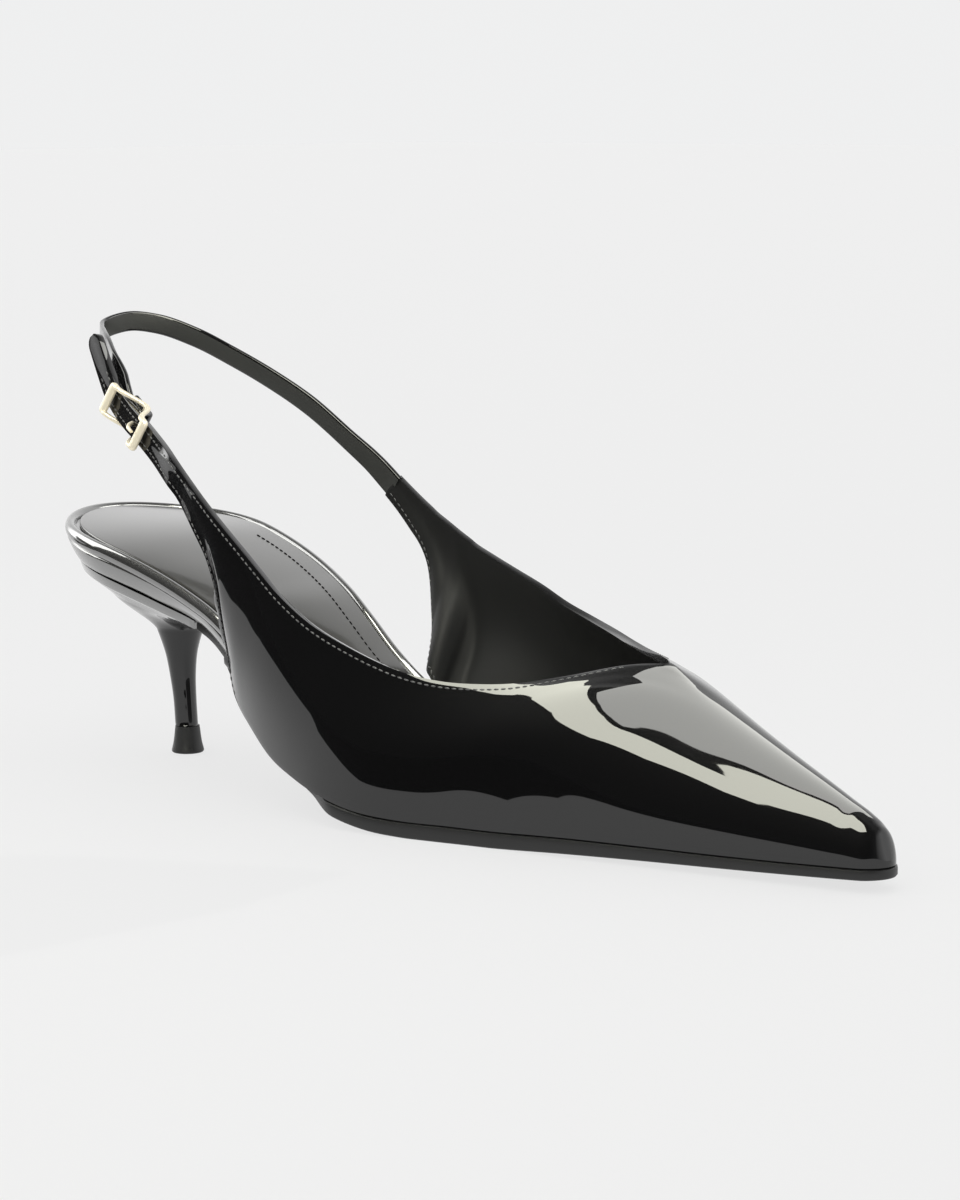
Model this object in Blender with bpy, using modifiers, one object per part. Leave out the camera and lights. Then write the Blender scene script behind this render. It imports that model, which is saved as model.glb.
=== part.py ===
# Slingback pump with a kitten heel and a pointed toe, in black patent leather: a right shoe.
# +X runs to the toe, +Y to the inner side of the foot and +Z up. The origin is the middle of
# the heel tip's resting face, on the floor. All sizes are metres.
import math

import bmesh
import bpy
import numpy as np
from mathutils import Vector

# Driving sizes of the last and sole
LENGTH = 0.2702  # back of the seat to the toe point
HEEL_SETBACK = 0.0342  # back of the seat to the middle of the heel tip
BALL_WIDTH = 0.0790  # across the widest part of the sole
SEAT_HEIGHT = 0.0535  # floor to the sole line at the back of the seat
SEAT_ROUNDING = 0.0350  # length of the rounded back of the seat
RIM_DEPTH = 0.0115  # sole line to the top of the footbed's rim, at the back
THROAT_HEIGHT = 0.0438  # floor to the throat point of the vamp
STRAP_HEIGHT = 0.1110  # floor to the middle of the strap at the back

# Walls and clearances
UPPER_WALL = 0.0017
SOLE_THICKNESS = 0.0036
SOCK_THICKNESS = 0.0010
RIM_ROLL = 0.0040  # height of the rolled rim round the footbed
ROLL_WIDTH = 0.0030  # its thickness, seen from above
GAP = 0.0003  # between pieces that touch
WELT = 0.0003  # the sole stands this far out from the upper

# Places along the shoe, as shares of LENGTH from the back of the seat
BREAST = 0.226  # front of the heel, where the outsole starts
LIFT_START = 0.412  # the upper's lower edge rises over the sole between here and TUCK_END
TUCK_END = 0.446  # in front of here the sole spreads out under the upper's wall
SPREAD_END = 0.492
THROAT = 0.7631
FOOTBED_END = 0.955

# Heel and its tip
TIP_HEIGHT = 0.0072
TIP_RADIUS = 0.00435
TIP_NECK = 0.00325
SHAFT_RADIUS = 0.00305

# Strap and buckle
STRAP_WIDTH = 0.0060
STRAP_THICKNESS = 0.0015
TAIL_ROUNDING = 0.0028  # length of the arm's rounded end
BUCKLE_LENGTH = 0.0212  # along the strap
BUCKLE_ROW = 3  # its middle lies at this row of the outer arm
BAR_WIDTH = 0.0027
BAR_THICKNESS = 0.0018
CENTRE_BAR_RADIUS = 0.0007
BAR_LEVEL = -0.0034  # the centre bar's middle, this far out from the arm's middle
FRAME_LEVEL = 0.0020  # the end bars' middle
SIDE_WIDTH = 0.0012
SIDE_CLEARANCE = 0.0003  # between the strap's edge and the buckle's side bars
PRONG_WIDTH = 0.0012
PRONG_THICKNESS = 0.0009
FOLD_BACK = 0.0080  # the strap's end, turned back round the centre bar

# Numbers of rows in the lofts
PLAN_STEPS = 46
WALL_ROWS = 7
HEEL_SIDES = 32

# One row for each section of the last, from the seat to the toe. Stations are shares of LENGTH,
# widths to the outer and inner side of the foot shares of BALL_WIDTH, sole line a share of
# SEAT_HEIGHT, rim a share of RIM_DEPTH and sole a share of SOLE_THICKNESS. The rim is the
# footbed's outline and the keel the narrower outline of its underside.
PLAN_COLUMNS = (
    "station", "rim_out", "rim_in", "keel_out", "keel_in", "sole_line", "rim", "sole",
)
PLAN = (
    (0.000, 0.373, 0.373, 0.335, 0.335, 1.000, 1.00, 0.67),
    (0.145, 0.371, 0.382, 0.323, 0.329, 0.860, 1.06, 0.67),
    (0.182, 0.352, 0.377, 0.291, 0.316, 0.796, 1.08, 0.67),
    (0.238, 0.335, 0.349, 0.246, 0.278, 0.686, 1.11, 0.67),
    (0.278, 0.337, 0.314, 0.281, 0.241, 0.598, 1.13, 0.67),
    (0.312, 0.349, 0.289, 0.316, 0.222, 0.505, 1.09, 0.67),
    (0.356, 0.394, 0.273, 0.376, 0.219, 0.363, 1.01, 0.67),
    (0.408, 0.438, 0.289, 0.430, 0.258, 0.209, 0.90, 0.68),
    (0.460, 0.470, 0.361, 0.463, 0.347, 0.097, 0.79, 0.78),
    (0.497, 0.475, 0.418, 0.468, 0.410, 0.045, 0.77, 0.92),
    (0.530, 0.457, 0.451, 0.451, 0.444, 0.013, 0.75, 1.00),
    (0.567, 0.425, 0.463, 0.419, 0.457, 0.000, 0.72, 1.06),
    (0.648, 0.347, 0.430, 0.341, 0.424, 0.000, 0.69, 1.06),
    (0.719, 0.289, 0.337, 0.282, 0.330, 0.015, 0.60, 1.00),
    (0.793, 0.224, 0.248, 0.218, 0.242, 0.026, 0.55, 0.88),
    (0.863, 0.163, 0.165, 0.157, 0.158, 0.034, 0.51, 0.78),
    (0.959, 0.076, 0.071, 0.070, 0.065, 0.047, 0.48, 0.71),
    (1.000, 0.037, 0.037, 0.030, 0.030, 0.054, 0.46, 0.69),
)

# Height of the vamp's ridge, from the throat point to the toe, as shares of THROAT_HEIGHT
RIDGE = (
    (0.7631, 1.000),
    (0.7853, 0.918),
    (0.8224, 0.808),
    (0.8853, 0.630),
    (0.9334, 0.500),
    (0.9556, 0.438),
    (0.9741, 0.386),
    (0.9852, 0.342),
    (0.9948, 0.272),
    (1.0000, 0.160),
)

# The quarters, a row for each rib of the wall from the throat back: the stations of its lower and
# upper end, the topline's half width (of BALL_WIDTH) and height (of THROAT_HEIGHT), the slope of
# the wall at the topline and its flare at the sole, in degrees.
WALL_COLUMNS = ("low", "top", "half", "height", "slope", "flare")
OUTER_WALL = (
    (0.7631, 0.7631, 0.000, 1.000, 0, 2),
    (0.734, 0.734, 0.070, 0.989, 12, 3),
    (0.693, 0.693, 0.172, 0.927, 25, 3),
    (0.648, 0.648, 0.256, 0.868, 41, 2),
    (0.608, 0.615, 0.306, 0.852, 54, 0),
    (0.563, 0.582, 0.351, 0.856, 63, -1),
    (0.519, 0.546, 0.394, 0.895, 69, -1),
    (0.474, 0.498, 0.435, 0.991, 75, 1),
    (0.434, 0.452, 0.456, 1.103, 78, 5),
    (0.393, 0.415, 0.466, 1.237, 80, 9),
    (0.356, 0.386, 0.468, 1.370, 83, 14),
    (0.334, 0.364, 0.467, 1.470, 84, 16),
)
INNER_WALL = (
    (0.7631, 0.7631, 0.000, 1.000, 0, 2),
    (0.734, 0.734, 0.091, 0.984, 14, 3),
    (0.693, 0.693, 0.190, 0.975, 27, 4),
    (0.648, 0.648, 0.281, 0.982, 38, 6),
    (0.608, 0.611, 0.342, 1.005, 48, 6),
    (0.563, 0.567, 0.403, 1.037, 58, 6),
    (0.519, 0.526, 0.433, 1.091, 66, 6),
    (0.474, 0.486, 0.456, 1.169, 74, 10),
    (0.441, 0.452, 0.462, 1.237, 78, 18),
    (0.415, 0.423, 0.462, 1.301, 81, 26),
    (0.398, 0.398, 0.462, 1.360, 83, 30),
)

# The free rear edge of each wing, a rib in each row from the sole up to where the strap starts:
# station, half width and height of the rib's lower end, then of its upper end on the topline, and
# the slope and flare there.
EDGE_COLUMNS = ("low", "low_half", "low_height", "top", "top_half", "top_height", "slope", "flare")
OUTER_EDGE = (
    (0.3218, 0.383, 0.630, 0.345, 0.466, 1.555, 84, 12),
    (0.3226, 0.406, 0.833, 0.334, 0.465, 1.604, 84, 8),
    (0.3225, 0.432, 1.050, 0.323, 0.463, 1.650, 85, 4),
    (0.3194, 0.450, 1.251, 0.312, 0.459, 1.696, 85, 0),
    (0.3105, 0.454, 1.393, 0.301, 0.454, 1.742, 84, -3),
    (0.2924, 0.448, 1.530, 0.291, 0.448, 1.783, 83, -5),
    (0.2660, 0.430, 1.690, 0.281, 0.441, 1.826, 82, -7),
)
INNER_EDGE = (
    (0.3910, 0.295, 0.335, 0.393, 0.462, 1.377, 83, 28),
    (0.3865, 0.299, 0.460, 0.385, 0.461, 1.402, 83, 24),
    (0.3816, 0.308, 0.575, 0.377, 0.460, 1.427, 84, 20),
    (0.3764, 0.340, 0.674, 0.368, 0.459, 1.457, 84, 16),
    (0.3697, 0.377, 0.776, 0.359, 0.458, 1.486, 85, 12),
    (0.3605, 0.409, 0.936, 0.350, 0.456, 1.516, 85, 8),
    (0.3486, 0.437, 1.142, 0.341, 0.454, 1.553, 86, 5),
    (0.3338, 0.443, 1.313, 0.332, 0.452, 1.589, 86, 3),
    (0.3179, 0.443, 1.416, 0.323, 0.449, 1.628, 86, 2),
    (0.3016, 0.439, 1.521, 0.313, 0.445, 1.674, 86, 1),
    (0.2880, 0.434, 1.600, 0.303, 0.441, 1.721, 86, 1),
)

# Middle lines of the narrow straps: station, half width (of BALL_WIDTH, outer side negative),
# height (of STRAP_HEIGHT), inward lean in degrees and width (of STRAP_WIDTH).
STRAP_COLUMNS = ("station", "side", "height", "lean", "width")
OUTER_ARM = (
    (0.2545, -0.418, 0.728, 4, 1.17),
    (0.2250, -0.387, 0.7675, 9, 1.05),
    (0.1970, -0.364, 0.803, 13, 1.00),
    (0.1675, -0.3415, 0.837, 15, 1.00),
    (0.1325, -0.310, 0.892, 11, 1.00),
    (0.1155, -0.295, 0.942, 5, 1.00),
    (0.1015, -0.286, 0.995, 1, 1.00),
)
SLING = (
    (0.2947, 0.4285, 0.6575, 4, 1.12),
    (0.2700, 0.418, 0.7070, 4, 1.04),
    (0.2440, 0.402, 0.752, 4, 0.96),
    (0.1930, 0.372, 0.836, 4, 0.94),
    (0.1490, 0.341, 0.893, 4, 0.92),
    (0.1040, 0.301, 0.945, 3, 0.90),
    (0.0625, 0.254, 0.990, 2, 0.90),
    (0.0275, 0.184, 1.021, 0, 0.90),
    (0.0110, 0.120, 1.028, 0, 0.90),
    (0.0068, 0.055, 1.021, 0, 0.90),
    (0.0105, 0.000, 1.012, 0, 0.90),
    (0.0240, -0.045, 1.0045, 2, 0.92),
    (0.0490, -0.110, 0.9965, 6, 0.94),
    (0.0780, -0.180, 0.984, 10, 0.96),
    (0.1050, -0.236, 0.957, 13, 0.98),
)

# The strap's last stretch before the fold: along the arm from the buckle's middle, across it and
# inward from its place at the centre bar
SLING_END = (
    (-0.0128, 0.0031, 0.0007),
    (-0.0093, 0.0021, 0.0002),
    (-0.0062, 0.0010, 0.0),
    (-0.0040, 0.0002, 0.0),
    (-0.0018, 0.0, 0.0),
)

# Boxes cut through at the buckle: middle along the strap and outward, then their full sizes
PRONG_HOLE = (0.0027, 0.0, 0.0036, 0.0018, 0.0040)
PRONG_SLOT = (0.0008, -0.0036, 0.0056, 0.0018, 0.0050)

# The prong's middle line in the buckle's frame: along the strap, outward
PRONG = (
    (-0.0005, -0.00470), (-0.0011, -0.00415), (-0.0013, -0.00340), (-0.0010, -0.00250),
    (-0.0002, -0.00205), (0.0008, -0.00190), (0.0017, -0.00115), (0.0025, 0.00000),
    (0.0034, 0.00130), (0.0045, 0.00260), (0.0058, 0.00335), (0.0070, 0.00355),
    (0.0080, 0.00350),
)

# Heel rings under the flange: share of the keel's outline, radius, middle's setback, drop below
# the sole line and the height where the ring lies flat, as shares of SEAT_HEIGHT.
HEEL_COLUMNS = ("blend", "radius", "middle", "drop", "height")
HEEL = (
    (0.95, 0.0075, -0.0023, 0.004, 0.00),
    (0.80, 0.0075, -0.0023, 0.043, 0.00),
    (0.55, 0.0085, -0.0023, 0.098, 0.74),
    (0.24, 0.0075, -0.0022, 0.150, 0.69),
    (0.00, 0.0064, -0.0021, 0.000, 0.63),
    (0.00, 0.0050, -0.0020, 0.000, 0.55),
    (0.00, 0.0041, -0.0018, 0.000, 0.48),
    (0.00, 0.00345, -0.0014, 0.000, 0.38),
    (0.00, 0.0031, -0.0008, 0.000, 0.27),
    (0.00, SHAFT_RADIUS, -0.0003, 0.000, 0.14),
)


def smooth(at, known, values):
    """Values at chosen places, on a cubic curve through the known ones with even slopes."""
    known = np.asarray(known, float)
    values = np.asarray(values, float)
    slopes = np.gradient(values, known, axis=0)
    at = np.asarray(at, float)
    i = np.clip(np.searchsorted(known, at) - 1, 0, len(known) - 2)
    step = known[i + 1] - known[i]
    t = (at - known[i]) / step
    if values.ndim == 2:
        t = t[:, None]
        step = step[:, None]
    start = (1 + 2 * t) * (1 - t) ** 2 * values[i] + t * (1 - t) ** 2 * step * slopes[i]
    end = t * t * (3 - 2 * t) * values[i + 1] + t * t * (t - 1) * step * slopes[i + 1]
    return start + end


def station_x(share):
    return np.asarray(share, float) * LENGTH - HEEL_SETBACK


def plan(column, share):
    """One column of the plan table at the given stations."""
    rows = np.array(PLAN)
    return smooth(share, rows[:, 0], rows[:, PLAN_COLUMNS.index(column)])


def sole_line(share):
    return np.maximum(plan("sole_line", share), 0.0) * SEAT_HEIGHT


def sole_top(share):
    return sole_line(share) + plan("sole", share) * SOLE_THICKNESS


def rim_top(share):
    return sole_line(share) + plan("rim", share) * RIM_DEPTH


def ease(share, start, end):
    """Goes smoothly from 0 at start to 1 at end."""
    t = np.clip((np.asarray(share, float) - start) / (end - start), 0, 1)
    return t * t * (3 - 2 * t)


def rounding(distance, length):
    """Width factor of a rounded end, at a distance from its tip."""
    t = np.clip(distance / length, 0, 1)
    return np.sqrt(np.maximum(1 - (1 - t) ** 2, 0))


def end_clustered(first, last, first_round, last_round, steps):
    """Stations from first to last, close together where an end is rounded."""
    t = np.linspace(0, 1, steps)
    span = last - first
    start = first + first_round * (1 - np.cos(np.pi / 2 * np.linspace(0, 1, 9)))
    end = last - last_round * (1 - np.cos(np.pi / 2 * np.linspace(1, 0, 5)))
    middle = first + span * t
    low = start[-1] if first_round else first
    high = end[0] if last_round else last
    middle = middle[(middle > low + span / steps * 0.4) & (middle < high - span / steps * 0.4)]
    head = start if first_round else [first]
    tail = end if last_round else [last]
    return np.concatenate([head, middle, tail])


def make_object(name, verts, faces, material, collection):
    mesh = bpy.data.meshes.new(name)
    mesh.from_pydata([tuple(v) for v in verts], [], faces)
    shape = bmesh.new()
    shape.from_mesh(mesh)
    bmesh.ops.remove_doubles(shape, verts=shape.verts, dist=0.000002)
    bmesh.ops.dissolve_degenerate(shape, edges=shape.edges, dist=0.000002)
    bmesh.ops.recalc_face_normals(shape, faces=shape.faces)
    shape.to_mesh(mesh)
    shape.free()
    mesh.shade_smooth()
    mesh.set_sharp_from_angle(angle=math.radians(35))
    mesh.materials.append(material)
    made = bpy.data.objects.new(name, mesh)
    collection.objects.link(made)
    return made


def make_material(name, colour, roughness, metallic=0.0):
    material = bpy.data.materials.new(name)
    material.use_nodes = True
    shader = material.node_tree.nodes["Principled BSDF"]
    shader.inputs["Base Color"].default_value = (*colour, 1.0)
    shader.inputs["Roughness"].default_value = roughness
    shader.inputs["Metallic"].default_value = metallic
    return material


def ring_solid(name, share, out, inn, rings, material, collection):
    """A solid whose outline is out and inn at each station, built from rings up its side.

    Each ring gives how far it lies inside the outline and its height at the stations.
    """
    x = station_x(share)
    closed_back = out[0] < 1e-6
    closed_front = out[-1] < 1e-6
    outer = np.stack([x, -out], 1)
    inner = np.stack([x, inn], 1)[::-1]
    stations = np.concatenate([share, share[::-1]])
    count = len(share)
    keep = np.ones(2 * count, bool)
    if closed_front:
        keep[count] = False
    if closed_back:
        keep[-1] = False
    loop = np.concatenate([outer, inner])[keep]
    stations = stations[keep]
    ahead = np.roll(loop, -1, 0)
    behind = np.roll(loop, 1, 0)
    tangent = ahead - behind
    tangent /= np.linalg.norm(tangent, axis=1)[:, None]
    inward = np.stack([-tangent[:, 1], tangent[:, 0]], 1)
    if not closed_back:
        inward[0] = (0, 1)
        inward[-1] = (0, -1)
    size = len(loop)
    verts = []
    for inset, height in rings:
        flat = loop + inward * np.asarray(inset(stations))[:, None]
        at = (flat[:, 0] + HEEL_SETBACK) / LENGTH
        verts.append(np.column_stack([flat, height(at)]))
    verts = np.concatenate(verts)
    faces = []
    for r in range(len(rings) - 1):
        for i in range(size):
            j = (i + 1) % size
            faces.append((r * size + i, r * size + j, (r + 1) * size + j, (r + 1) * size + i))
    last = 2 * count - 2 if closed_front else 2 * count - 1
    for base in (0, (len(rings) - 1) * size):
        for i in range(count - 1):
            corners = (i, i + 1, (last - i - 1) % size, (last - i) % size)
            faces.append(tuple(dict.fromkeys(base + c for c in corners)))
    faces = [face for face in faces if len(face) > 2]
    return make_object(name, verts, faces, material, collection)


def footbed_outline(end_share, clearance):
    """Stations and half widths of the footbed's outline, with a rounded back and tip."""
    round_back = SEAT_ROUNDING / LENGTH
    round_front = 0.012
    share = end_clustered(0.0, end_share, round_back, round_front, PLAN_STEPS)
    cap = rounding(share, round_back) * rounding(end_share - share, round_front)
    out = (plan("rim_out", share) * BALL_WIDTH - clearance) * cap
    inn = (plan("rim_in", share) * BALL_WIDTH - clearance) * cap
    return share, out, inn


def keel_inset(side):
    """How far the footbed's underside lies inside its rim, as a function of the station."""
    def inset(share):
        return (plan("rim_" + side, share) - plan("keel_" + side, share)) * BALL_WIDTH
    return inset


def make_footbed(material, collection):
    """The covered board: flat underside, tapered side band, groove and rolled rim."""
    share, out, inn = footbed_outline(FOOTBED_END, 0.0)
    both = keel_inset("out")
    other = keel_inset("in")

    def taper(part):
        def inset(at):
            half = len(at) // 2 + 1
            deep = np.concatenate([both(at[:half]), other(at[half:])])
            return np.maximum(deep * part, 0.0002)
        return inset

    def level(base, part):
        def height(at):
            low = sole_top(at) + GAP
            roll = RIM_ROLL * np.clip((rim_top(at) - low) / RIM_DEPTH * 1.3, 0.35, 1)
            band = rim_top(at) - roll
            if base == "band":
                return low + (band - low) * part
            return band + roll * part
        return height

    flat = ROLL_WIDTH * 0.5
    rings = (
        (taper(1.0), level("band", 0.0)),
        (taper(0.55), level("band", 0.45)),
        (taper(0.16), level("band", 0.90)),
        (taper(0.12), level("roll", 0.0)),
        (lambda at: 0.0003 + 0 * at, level("roll", 0.22)),
        (lambda at: 0 * at, level("roll", 0.50)),
        (lambda at: flat * 0.35 + 0 * at, level("roll", 0.85)),
        (lambda at: flat + 0 * at, level("roll", 1.0)),
        (lambda at: flat * 1.7 + 0 * at, level("roll", 0.86)),
        (lambda at: flat * 2.0 + 0 * at, lambda at: sock_base(at)),
    )
    return ring_solid("footbed", share, out, inn, rings, material, collection)


def sock_base(share):
    """Top of the board under the sock."""
    return rim_top(share) - SOCK_THICKNESS - 2 * GAP


def make_insole(material, collection):
    """The sock: a thin sheet inside the rolled rim."""
    share, out, inn = footbed_outline(FOOTBED_END, ROLL_WIDTH + 2.5 * GAP)
    keep = (out > 1e-6) & (inn > 1e-6)
    keep[0] = True
    keep[-1] = True
    share, out, inn = share[keep], out[keep], inn[keep]
    start = (ROLL_WIDTH + 2.5 * GAP) / LENGTH
    share = start + (share - share[0]) * (share[-1] - 2 * start) / (share[-1] - share[0])
    out[0] = inn[0] = out[-1] = inn[-1] = 0.0
    rings = (
        (lambda at: 0 * at, lambda at: sock_base(at) + GAP),
        (lambda at: 0 * at, lambda at: sock_base(at) + GAP + SOCK_THICKNESS * 0.7),
        (lambda at: 0.0003 + 0 * at, lambda at: sock_base(at) + GAP + SOCK_THICKNESS),
    )
    return ring_solid("insole", share, out, inn, rings, material, collection)


def feather_half(side, share, tip=1.0):
    """Half width of the upper's outer face where it meets the sole."""
    half = plan("rim_" + side, share) * BALL_WIDTH + GAP + UPPER_WALL
    return half * rounding((tip - share) * LENGTH, 0.0050)


def make_outsole(material, collection):
    share = end_clustered(BREAST, 1.0 + WELT / LENGTH, 0.0, 0.016, PLAN_STEPS)
    spread = ease(share, TUCK_END, SPREAD_END)
    tip = 1.0 + WELT / LENGTH
    halves = []
    for side in ("out", "in"):
        tucked = plan("keel_" + side, share) * BALL_WIDTH - GAP
        welt = WELT * rounding((tip - share) * LENGTH, 0.005)
        wide = feather_half(side, np.minimum(share, tip), tip) + welt
        halves.append(tucked * (1 - spread) + wide * spread)
    out, inn = halves
    out[-1] = inn[-1] = 0.0
    rings = (
        (lambda at: 0.0005 + 0 * at, sole_line),
        (lambda at: 0 * at, lambda at: sole_line(at) + 0.0005),
        (lambda at: 0 * at, lambda at: sole_top(at) - 0.0004),
        (lambda at: 0.0003 + 0 * at, sole_top),
    )
    return ring_solid("outsole", share, out, inn, rings, material, collection)


def rib(low, top, slope, flare, side):
    """Points up one rib of the wall, from its lower end to the topline.

    A cubic curve that leaves the sole leaning out by flare and meets the topline at slope.
    """
    low = Vector(low)
    top = Vector(top)
    rise = (top - low).length
    lean = math.radians(flare)
    fall = math.radians(slope)
    up = Vector((0, side * math.sin(lean), math.cos(lean)))
    out = Vector((0, side * math.cos(fall), -math.sin(fall)))
    reach = abs(top.y - low.y) * math.cos(fall) + (top.z - low.z) * math.sin(fall)
    ahead = Vector(((top.x - low.x) / 3, 0, 0))
    a = low + up * min((top.z - low.z) * 0.55, rise * 0.5) + ahead
    b = top + out * min(reach * 0.55, rise * 0.5) - ahead
    points = []
    for t in np.linspace(0, 1, WALL_ROWS + 1):
        s = 1 - t
        points.append(low * s ** 3 + a * (3 * s * s * t) + b * (3 * s * t * t) + top * t ** 3)
    return points


def feather_point(share, side, name):
    """Lower outer edge of the upper at a station."""
    half = float(feather_half(name, np.array([share]))[0])
    lift = float(plan("sole", np.array([share]))[0]) * SOLE_THICKNESS
    lift *= float(ease(share, LIFT_START, TUCK_END))
    base = float(sole_line(np.array([share]))[0])
    return (float(station_x(share)), side * half, base + lift + GAP)


def wall_side(name, wall, edge, arm, side):
    """All ribs of one side of the upper, from the throat back to the wing's or the arm's end."""
    rows = []
    for low, top, half, height, slope, flare in wall:
        upper = (float(station_x(top)), side * half * BALL_WIDTH, height * THROAT_HEIGHT)
        rows.append((*feather_point(low, side, name), *upper, slope, flare))
    for low, low_half, low_height, top, top_half, top_height, slope, flare in edge:
        lower = (float(station_x(low)), side * low_half * BALL_WIDTH, low_height * THROAT_HEIGHT)
        upper = (float(station_x(top)), side * top_half * BALL_WIDTH, top_height * THROAT_HEIGHT)
        rows.append((*lower, *upper, slope, flare))
    if arm:
        values, ahead = strap_frames(arm, 1)
        for value, direction in zip(values, ahead):
            up, out = strap_section(value, direction, value[3])
            face = Vector(value[:3]) + out * (STRAP_THICKNESS / 2)
            rise = up * (value[4] / 2)
            rows.append((*(face - rise), *(face + rise), 90 - value[3], -value[3]))
    rows = np.array(rows)
    middle = (rows[:, 0:3] + rows[:, 3:6]) / 2
    known = np.concatenate([[0], np.cumsum(np.linalg.norm(np.diff(middle, axis=0), axis=1))])
    halves = (known[:-1] + known[1:]) / 2
    fine = np.sort(np.concatenate([known, halves]))[1:]
    return [rib(row[0:3], row[3:6], row[6], row[7], side) for row in smooth(fine, known, rows)]


def toe_ribs(name, side):
    """Ribs of the closed vamp, from the toe back to the throat, meeting on the ridge."""
    ridge = np.array(RIDGE)
    tail = 1 - 0.045 * (1 - np.cos(np.linspace(0, np.pi / 2, 8)))
    body = np.linspace(tail[-1], THROAT, 9)[1:]
    ribs = []
    for share in np.concatenate([tail, body]):
        height = float(smooth(np.array([share]), ridge[:, 0], ridge[:, 1])[0]) * THROAT_HEIGHT
        low = feather_point(share, side, name)
        top = (low[0], 0.0, max(height, low[2] + 0.0005))
        ribs.append(rib(low, top, 0, 2, side))
    return ribs


def strap_frames(rows, steps):
    """Middle points, leans, widths and runs along a strap, with steps in each span of its rows."""
    rows = np.array(rows)
    path = np.column_stack([
        station_x(rows[:, 0]), rows[:, 1] * BALL_WIDTH, rows[:, 2] * STRAP_HEIGHT,
        rows[:, 3], rows[:, 4] * STRAP_WIDTH,
    ])
    known = np.concatenate([[0], np.cumsum(np.linalg.norm(np.diff(path[:, :3], axis=0), axis=1))])
    fine = []
    for a, b in zip(known, known[1:]):
        fine.extend(np.linspace(a, b, steps, endpoint=False))
    fine = np.array(fine + [known[-1]])
    values = smooth(fine, known, path)
    return values, np.gradient(values[:, :3], fine, axis=0)


def strap_section(point, ahead, lean):
    """Width and outward directions of a strap that leans in at its top by lean degrees."""
    ahead = Vector(ahead).normalized()
    across = ahead.cross(Vector((0, 0, 1))).normalized()
    if across.dot(Vector((point[0] - 0.010, point[1], 0))) < 0:
        across = -across
    upright = ahead.cross(across).normalized()
    if upright.z < 0:
        upright = -upright
    turn = math.radians(lean)
    up = upright * math.cos(turn) - across * math.sin(turn)
    out = across * math.cos(turn) + upright * math.sin(turn)
    return up, out


def buckle_frame():
    """Middle of the buckle on the outer arm, with the arm's run, width and outward directions."""
    values, ahead = strap_frames(OUTER_ARM, 3)
    spot = 3 * BUCKLE_ROW
    up, out = strap_section(values[spot], ahead[spot], values[spot][3])
    along = -Vector(ahead[spot]).normalized()
    across = (up - along * up.dot(along)).normalized()
    out = across.cross(along)
    if out.y > 0:
        out = -out
    return Vector(values[spot][:3]), along, across, out


def at_buckle(along, across, out):
    """A point in the buckle's frame: along the strap to the toe, across it and outward."""
    middle, run, width, face = buckle_frame()
    return middle + run * along + width * across + face * out


def make_upper(material, collection):
    """Vamp, wings and the outer arm in one wall, its inner face set off along the normals."""
    outer = wall_side("out", OUTER_WALL, OUTER_EDGE, OUTER_ARM, -1)
    inner = wall_side("in", INNER_WALL, INNER_EDGE, None, 1)
    tail = outer[-1]
    middle = (tail[0] + tail[-1]) / 2
    run = (middle - (outer[-2][0] + outer[-2][-1]) / 2).normalized()
    for turn in (28, 52, 75):
        along = TAIL_ROUNDING * math.sin(math.radians(turn))
        share = math.cos(math.radians(turn)) ** 0.8
        outer.append([middle + run * along + (point - middle) * share for point in tail])
    columns = [(toe_ribs("out", -1) + outer), (toe_ribs("in", 1) + inner)]
    shape = bmesh.new()
    for ribs in columns:
        grid = [[shape.verts.new(point) for point in points] for points in ribs]
        for a, b in zip(grid, grid[1:]):
            for j in range(WALL_ROWS):
                shape.faces.new((a[j], b[j], b[j + 1], a[j + 1]))
    bmesh.ops.remove_doubles(shape, verts=shape.verts, dist=0.00002)
    bmesh.ops.dissolve_degenerate(shape, edges=shape.edges, dist=0.00002)
    bmesh.ops.recalc_face_normals(shape, faces=shape.faces)
    shape.normal_update()
    lowest = max(shape.faces, key=lambda face: face.calc_center_median().z)
    outward = lowest.calc_center_median() - Vector((0.010, 0, 0.09))
    if lowest.normal.dot(outward) < 0:
        bmesh.ops.reverse_faces(shape, faces=shape.faces)
        shape.normal_update()
    ends = [edge for edge in shape.edges if edge.is_boundary]
    pairs = {}
    for vert in list(shape.verts):
        wall = UPPER_WALL
        if vert.co.x < station_x(0.29):
            wall = STRAP_THICKNESS
        pairs[vert] = shape.verts.new(vert.co - vert.normal * wall)
    for face in list(shape.faces):
        shape.faces.new([pairs[vert] for vert in reversed(face.verts)])
    for edge in ends:
        loop = edge.link_loops[0]
        a, b = loop.vert, loop.link_loop_next.vert
        shape.faces.new((b, a, pairs[a], pairs[b]))
    mesh = bpy.data.meshes.new("upper")
    bmesh.ops.recalc_face_normals(shape, faces=shape.faces)
    shape.to_mesh(mesh)
    shape.free()
    mesh.shade_smooth()
    mesh.set_sharp_from_angle(angle=math.radians(40))
    mesh.materials.append(material)
    made = bpy.data.objects.new("upper", mesh)
    collection.objects.link(made)
    cut_along_arm("prong_hole", made, PRONG_HOLE)
    return made


def cut_along_arm(name, target, box):
    """Cut a box through a strap in the buckle's frame."""
    along, out, length, width, depth = box
    shape = bmesh.new()
    corners = bmesh.ops.create_cube(shape, size=1.0)["verts"]
    for vert in corners:
        local = vert.co.copy()
        vert.co = at_buckle(along + local.x * length, local.y * width, out + local.z * depth)
    bmesh.ops.recalc_face_normals(shape, faces=shape.faces)
    mesh = bpy.data.meshes.new(name)
    shape.to_mesh(mesh)
    shape.free()
    cutter = bpy.data.objects.new(name, mesh)
    cutter.hide_render = True
    cutter.display_type = "WIRE"
    bpy.data.collections["cutters"].objects.link(cutter)
    cut = target.modifiers.new(name, "BOOLEAN")
    cut.operation = "DIFFERENCE"
    cut.solver = "EXACT"
    cut.object = cutter


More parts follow.
